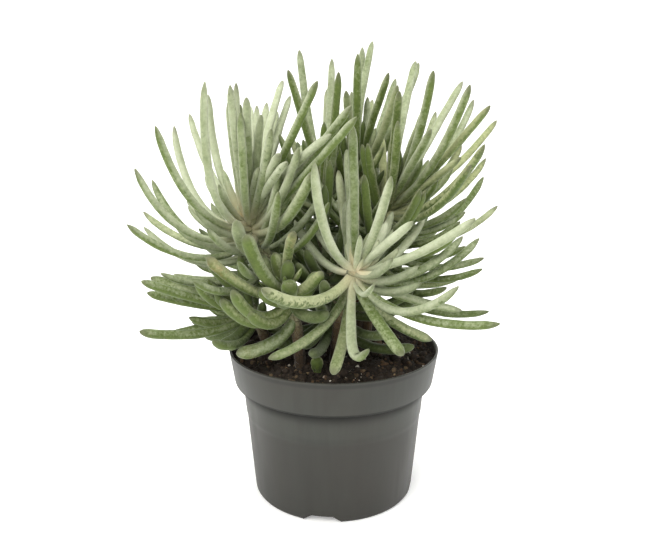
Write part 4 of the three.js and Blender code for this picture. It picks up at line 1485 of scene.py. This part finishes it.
# %% The trees for clods and crumbs
clod_tree, t, inputs, out = new_tree(
    "Clods", "GeometryNodeTree",
    {"Soil": ("Geometry", None), "Clod height": ("Float", 0.003), "Finish": ("Material", None)},
    {"Soil": "Geometry"},
)
where = t.add("GeometryNodeInputPosition").outputs[0]
clods = t.noise(where, 95, detail=5, roughness=0.62)
lift = t.math("MULTIPLY", t.swing(clods, inputs["Clod height"]), named(t, "top"))
offset = t.add("ShaderNodeCombineXYZ", {"Z": lift})
body = t.add("GeometryNodeSetPosition", {"Geometry": inputs["Soil"], "Offset": offset})
body = t.add("GeometryNodeRealizeInstances", {"Geometry": body})
body = t.add("GeometryNodeSetMaterial", {"Geometry": body, "Material": inputs["Finish"]})
t.plug(out, "Soil", body)

crumb_tree, t, inputs, out = new_tree(
    "Crumbs", "GeometryNodeTree",
    {
        "Soil": ("Geometry", None),
        "Reach": ("Float", 0.055),
        "Density": ("Float", 100000.0),
        "Smallest": ("Float", 0.0005),
        "Largest": ("Float", 0.0015),
        "Stretch": ("Float", 1.0),
        "Detail": ("Int", 1),
        "Seed": ("Int", 1),
        "Finish": ("Material", None),
    },
    {"Crumbs": "Geometry"},
)


def random_value(t, low, high, seed, kind="FLOAT"):
    """A random value for each instance."""
    node = t.add("FunctionNodeRandomValue", data_type=kind)
    used = [socket for socket in node.inputs if socket.enabled]
    for socket, value in zip(used, (low, high)):
        socket.default_value = value
    t.plug(node, "Seed", seed)
    return first_output(node)


facing = t.part(t.add("GeometryNodeInputNormal"), "Z")
upward = t.math("GREATER_THAN", facing, 0.4)
level = t.vector_math("MULTIPLY", t.add("GeometryNodeInputPosition"), (1, 1, 0))
inside = t.math("LESS_THAN", t.vector_math("LENGTH", level), inputs["Reach"])
picked = {"Geometry": inputs["Soil"], "Selection": t.math("MULTIPLY", upward, inside)}
surface = t.add("GeometryNodeSeparateGeometry", picked, domain="FACE")
spots = t.add("GeometryNodeDistributePointsOnFaces", {"Mesh": surface.outputs["Selection"]})
t.plug(spots, "Density", inputs["Density"])
t.plug(spots, "Seed", inputs["Seed"])
ball = t.add("GeometryNodeMeshIcoSphere", {"Radius": 1.0, "Subdivisions": inputs["Detail"]})
where = t.add("GeometryNodeInputPosition").outputs[0]
lumpy = t.add("ShaderNodeTexNoise", {"Vector": where, "Scale": 1.3, "Detail": 2.0}).outputs["Color"]
lumpy = t.vector_math("SCALE", t.vector_math("SUBTRACT", lumpy, (0.5, 0.5, 0.5)), 1.1)
ball = t.add("GeometryNodeSetPosition", {"Geometry": ball, "Offset": lumpy})
crumbs = t.add("GeometryNodeInstanceOnPoints", {"Points": spots, "Instance": ball})
spin = random_value(t, (0.0, 0.0, 0.0), (6.28, 6.28, 6.28), 3, "FLOAT_VECTOR")
t.plug(crumbs, "Rotation", spin)
size = t.math("POWER", random_value(t, 0.0, 1.0, 5), 2.2)
wider = t.math("SUBTRACT", inputs["Largest"], inputs["Smallest"])
size = t.math("MULTIPLY_ADD", size, wider, inputs["Smallest"])
long = t.math("MULTIPLY", size, inputs["Stretch"])
t.plug(crumbs, "Scale", t.add("ShaderNodeCombineXYZ", {"X": long, "Y": size, "Z": size}))
tones = {"Geometry": crumbs, "Name": "tone", "Value": random_value(t, 0.0, 1.0, 9)}
crumbs = t.add("GeometryNodeStoreNamedAttribute", tones, data_type="FLOAT", domain="INSTANCE")
crumbs = t.add("GeometryNodeRealizeInstances", {"Geometry": crumbs})
crumbs = t.add("GeometryNodeSetMaterial", {"Geometry": crumbs, "Material": inputs["Finish"]})
t.plug(out, "Crumbs", crumbs)

# %% [markdown]
# ## The finishes of the soil
# Damp peat is nearly black with a brown cast. The same finish serves the mass and its crumbs, because
# each crumb carries its own tone. Bark is lighter and warmer, and perlite is chalk white to beige.

# %% The finishes of the soil
def soil_finish(name, dark, light, rare, rough):
    """A crumbly finish between two colours, with a few grains of a third."""
    material, t, shader = new_material(name, light)
    place = t.add("ShaderNodeTexCoord").outputs["Object"]
    clods = t.noise(place, 700, detail=4, roughness=0.7)
    tone = value_of(t, "tone")
    blend = t.math("MULTIPLY", t.remap(clods, 0.3, 0.7), 0.7)
    blend = t.math("ADD", blend, t.math("MULTIPLY", tone, 0.4))
    colour = t.mix(blend, dark, light)
    flecks = t.remap(t.noise(place, 420, detail=2, roughness=0.6), 0.66, 0.72)
    rarely = t.math("MAXIMUM", t.math("MULTIPLY", flecks, 0.7), t.remap(tone, 0.93, 0.96))
    t.plug(shader, "Base Color", t.mix(rarely, colour, rare))
    t.plug(shader, "Roughness", t.remap(clods, 0.3, 0.7, rough - 0.2, rough))
    shader.inputs["Specular IOR Level"].default_value = 0.35
    bump(t, shader, clods, 0.5, 0.9)
    return material


peat = soil_finish("damp_peat", rgb(22, 18, 14), rgb(58, 47, 37), rgb(98, 82, 62), 0.95)
bark = soil_finish("bark_crumbs", rgb(42, 33, 25), rgb(98, 76, 54), rgb(136, 116, 88), 0.9)
perlite = soil_finish("perlite", rgb(168, 156, 140), rgb(226, 220, 208), rgb(150, 122, 98), 0.85)


def scatter(name, finish, reach, density, sizes, **inputs):
    """Crumbs of one kind over the soil, as a piece of their own. Lengths are in millimetres."""
    inputs.update(reach=reach * MM, smallest=sizes[0] * MM, largest=sizes[1] * MM)
    base = new_object(name, soil.data.copy())
    piece = grow(base, crumb_tree, finish=finish, density=density, **inputs)
    tidy(piece, merge=0)
    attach(piece, "root")
    print(name, "triangles:", triangles(piece))


grow(soil, clod_tree, clod_height=4.5 * MM, finish=peat)
soil.data.shade_smooth()
scatter("peat_crumbs", peat, 57, 150000.0, (0.35, 1.6), detail=1, seed=1)
scatter("peat_clods", peat, 55, 26000.0, (1.2, 3.2), detail=2, seed=2)
scatter("bark_crumbs", bark, 56, 24000.0, (0.5, 1.5), stretch=2.4, detail=1, seed=3)
scatter("perlite_crumbs", perlite, 57, 11000.0, (0.35, 1.3), detail=2, seed=4)
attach(soil, "root")
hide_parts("soil")

# %% [markdown]
# ## The bud
# A young shoot breaks through the soil in front. It is a green ball of packed leaf tips on a short
# stalk, so it is swept like a leaf, short and fat, with smaller tips around it.

# %% The bud
BUD_FOOT = (-9, -36)
BUD_DEPTH = 6
BUD_HEIGHT = 14.6
BUD_RADIUS = 3.3
BUD_LEAN = -2
BALL_MIDDLE = 0.78
STALK_SHARE = 0.5
BUD_LOOK = {"age": 0.8}
STUBS = 5
STUB_REACH = 0.55
STUB_WAY = (0.2, 0.9, 0.7)
STUB_DROP = (1.6, 0.5)
STUB_SHARE = 0.5

x, y = BUD_FOOT
low = float(soil_height(x, y)) - BUD_DEPTH
top = low + BUD_HEIGHT
paths = Paths()
curve = [np.array(p, float) for p in ((x, y, low), (x, y, low + BUD_DEPTH), (x, y + BUD_LEAN, top))]
ball = BALL_MIDDLE - (1 - BALL_MIDDLE) * np.cos(np.linspace(0.3, math.pi, 9))
places = np.concatenate([[0, 0.3, 0.5], ball])
share = np.sqrt(np.clip(1 - ((places - BALL_MIDDLE) / (1 - BALL_MIDDLE)) ** 2, 0, 1))
share = np.maximum(share, np.where(places < BALL_MIDDLE, STALK_SHARE, 0.02))
side = np.array([1.0, 0, 0])
look = {"along": places * 0.9, **BUD_LOOK}
paths.add(bezier(curve, places), side, girth=BUD_RADIUS * share, tone=1.0, **look)
for k in range(STUBS):
    out = direction(k * GOLDEN_TURN, 0) * (BUD_RADIUS * STUB_REACH)
    stub = [point + out * reach for point, reach in zip(curve, STUB_WAY)]
    stub[2] = stub[2] - np.array([0, 0, STUB_DROP[0] + STUB_DROP[1] * k])
    girth = BUD_RADIUS * STUB_SHARE * share
    paths.add(bezier(stub, places), side, girth=girth, tone=0.2 * k, **look)
bud = sweep_fingers(paths.object("bud_leaves"))
print("triangles of the bud:", triangles(bud))
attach(bud, "root")
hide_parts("bud")

# %% [markdown]
# ## The studio
# The plant stands on a pale floor that curves up behind it, so that no horizon shows. The light is
# soft: a large lamp from the upper left in front, a weaker one from the right, one from above, and
# a bright room all round. None of this is part of the object. Its lengths are in metres.

# %% The studio
FLOOR_HALF = 1.6
FLOOR_FRONT = -2.2
FLOOR_BACK = 0.9
BEND_SIZE = 0.5
BEND_STEPS = 16
WALL_TOP = 2.4
PAPER_GLOW = 0.3
LOOK_AT = (0, 0, 0.12)
ROOM_LIGHT = 0.52


def studio_sweep():
    """A floor that bends up into a wall behind the plant."""
    rows = [(FLOOR_FRONT, 0.0), (FLOOR_BACK, 0.0)]
    for k in range(1, BEND_STEPS + 1):
        turn = math.pi / 2 * k / BEND_STEPS
        rows.append((FLOOR_BACK + BEND_SIZE * math.sin(turn), BEND_SIZE * (1 - math.cos(turn))))
    rows.append((FLOOR_BACK + BEND_SIZE, WALL_TOP))
    points = [(x, y, z) for y, z in rows for x in (-FLOOR_HALF, FLOOR_HALF)]
    faces = [(2 * k, 2 * k + 1, 2 * k + 3, 2 * k + 2) for k in range(len(rows) - 1)]
    sweep = mesh_object("studio_floor", points, faces)
    sweep.data.shade_smooth()
    material, t, shader = new_material("studio_paper", rgb(240, 240, 238))
    place = t.add("ShaderNodeTexCoord").outputs["Object"]
    colour = t.mix(t.noise(place, 3, detail=2), rgb(238, 238, 236), rgb(244, 244, 242))
    t.plug(shader, "Base Color", colour)
    shader.inputs["Roughness"].default_value = 0.9
    shader.inputs["Emission Color"].default_value = (1, 1, 1, 1)
    shader.inputs["Emission Strength"].default_value = PAPER_GLOW
    sweep.data.materials.append(material)


def lamp(name, place, power, size, warmth):
    """A square soft lamp that looks at the plant."""
    data = bpy.data.lights.new(name, "AREA")
    data.energy, data.size, data.color = power, size, warmth
    thing = new_object(name, data)
    thing.location = place
    thing.rotation_euler = (Vector(LOOK_AT) - Vector(place)).to_track_quat("-Z", "Y").to_euler()


studio_sweep()
lamp("key_light", (-0.7, -1.1, 1.3), 22, 0.9, (1.0, 0.99, 0.96))
lamp("fill_light", (1.1, -0.8, 0.8), 5, 1.0, (0.97, 0.98, 1.0))
lamp("top_light", (0.0, 0.15, 1.5), 22, 0.9, (1.0, 1.0, 1.0))
world = bpy.data.worlds.new("bright room")
world.use_nodes = True
light = world.node_tree.nodes["Background"]
light.inputs["Color"].default_value = (1, 1, 1, 1)
light.inputs["Strength"].default_value = ROOM_LIGHT
bpy.context.scene.world = world
bpy.context.scene.view_settings.view_transform = "Standard"
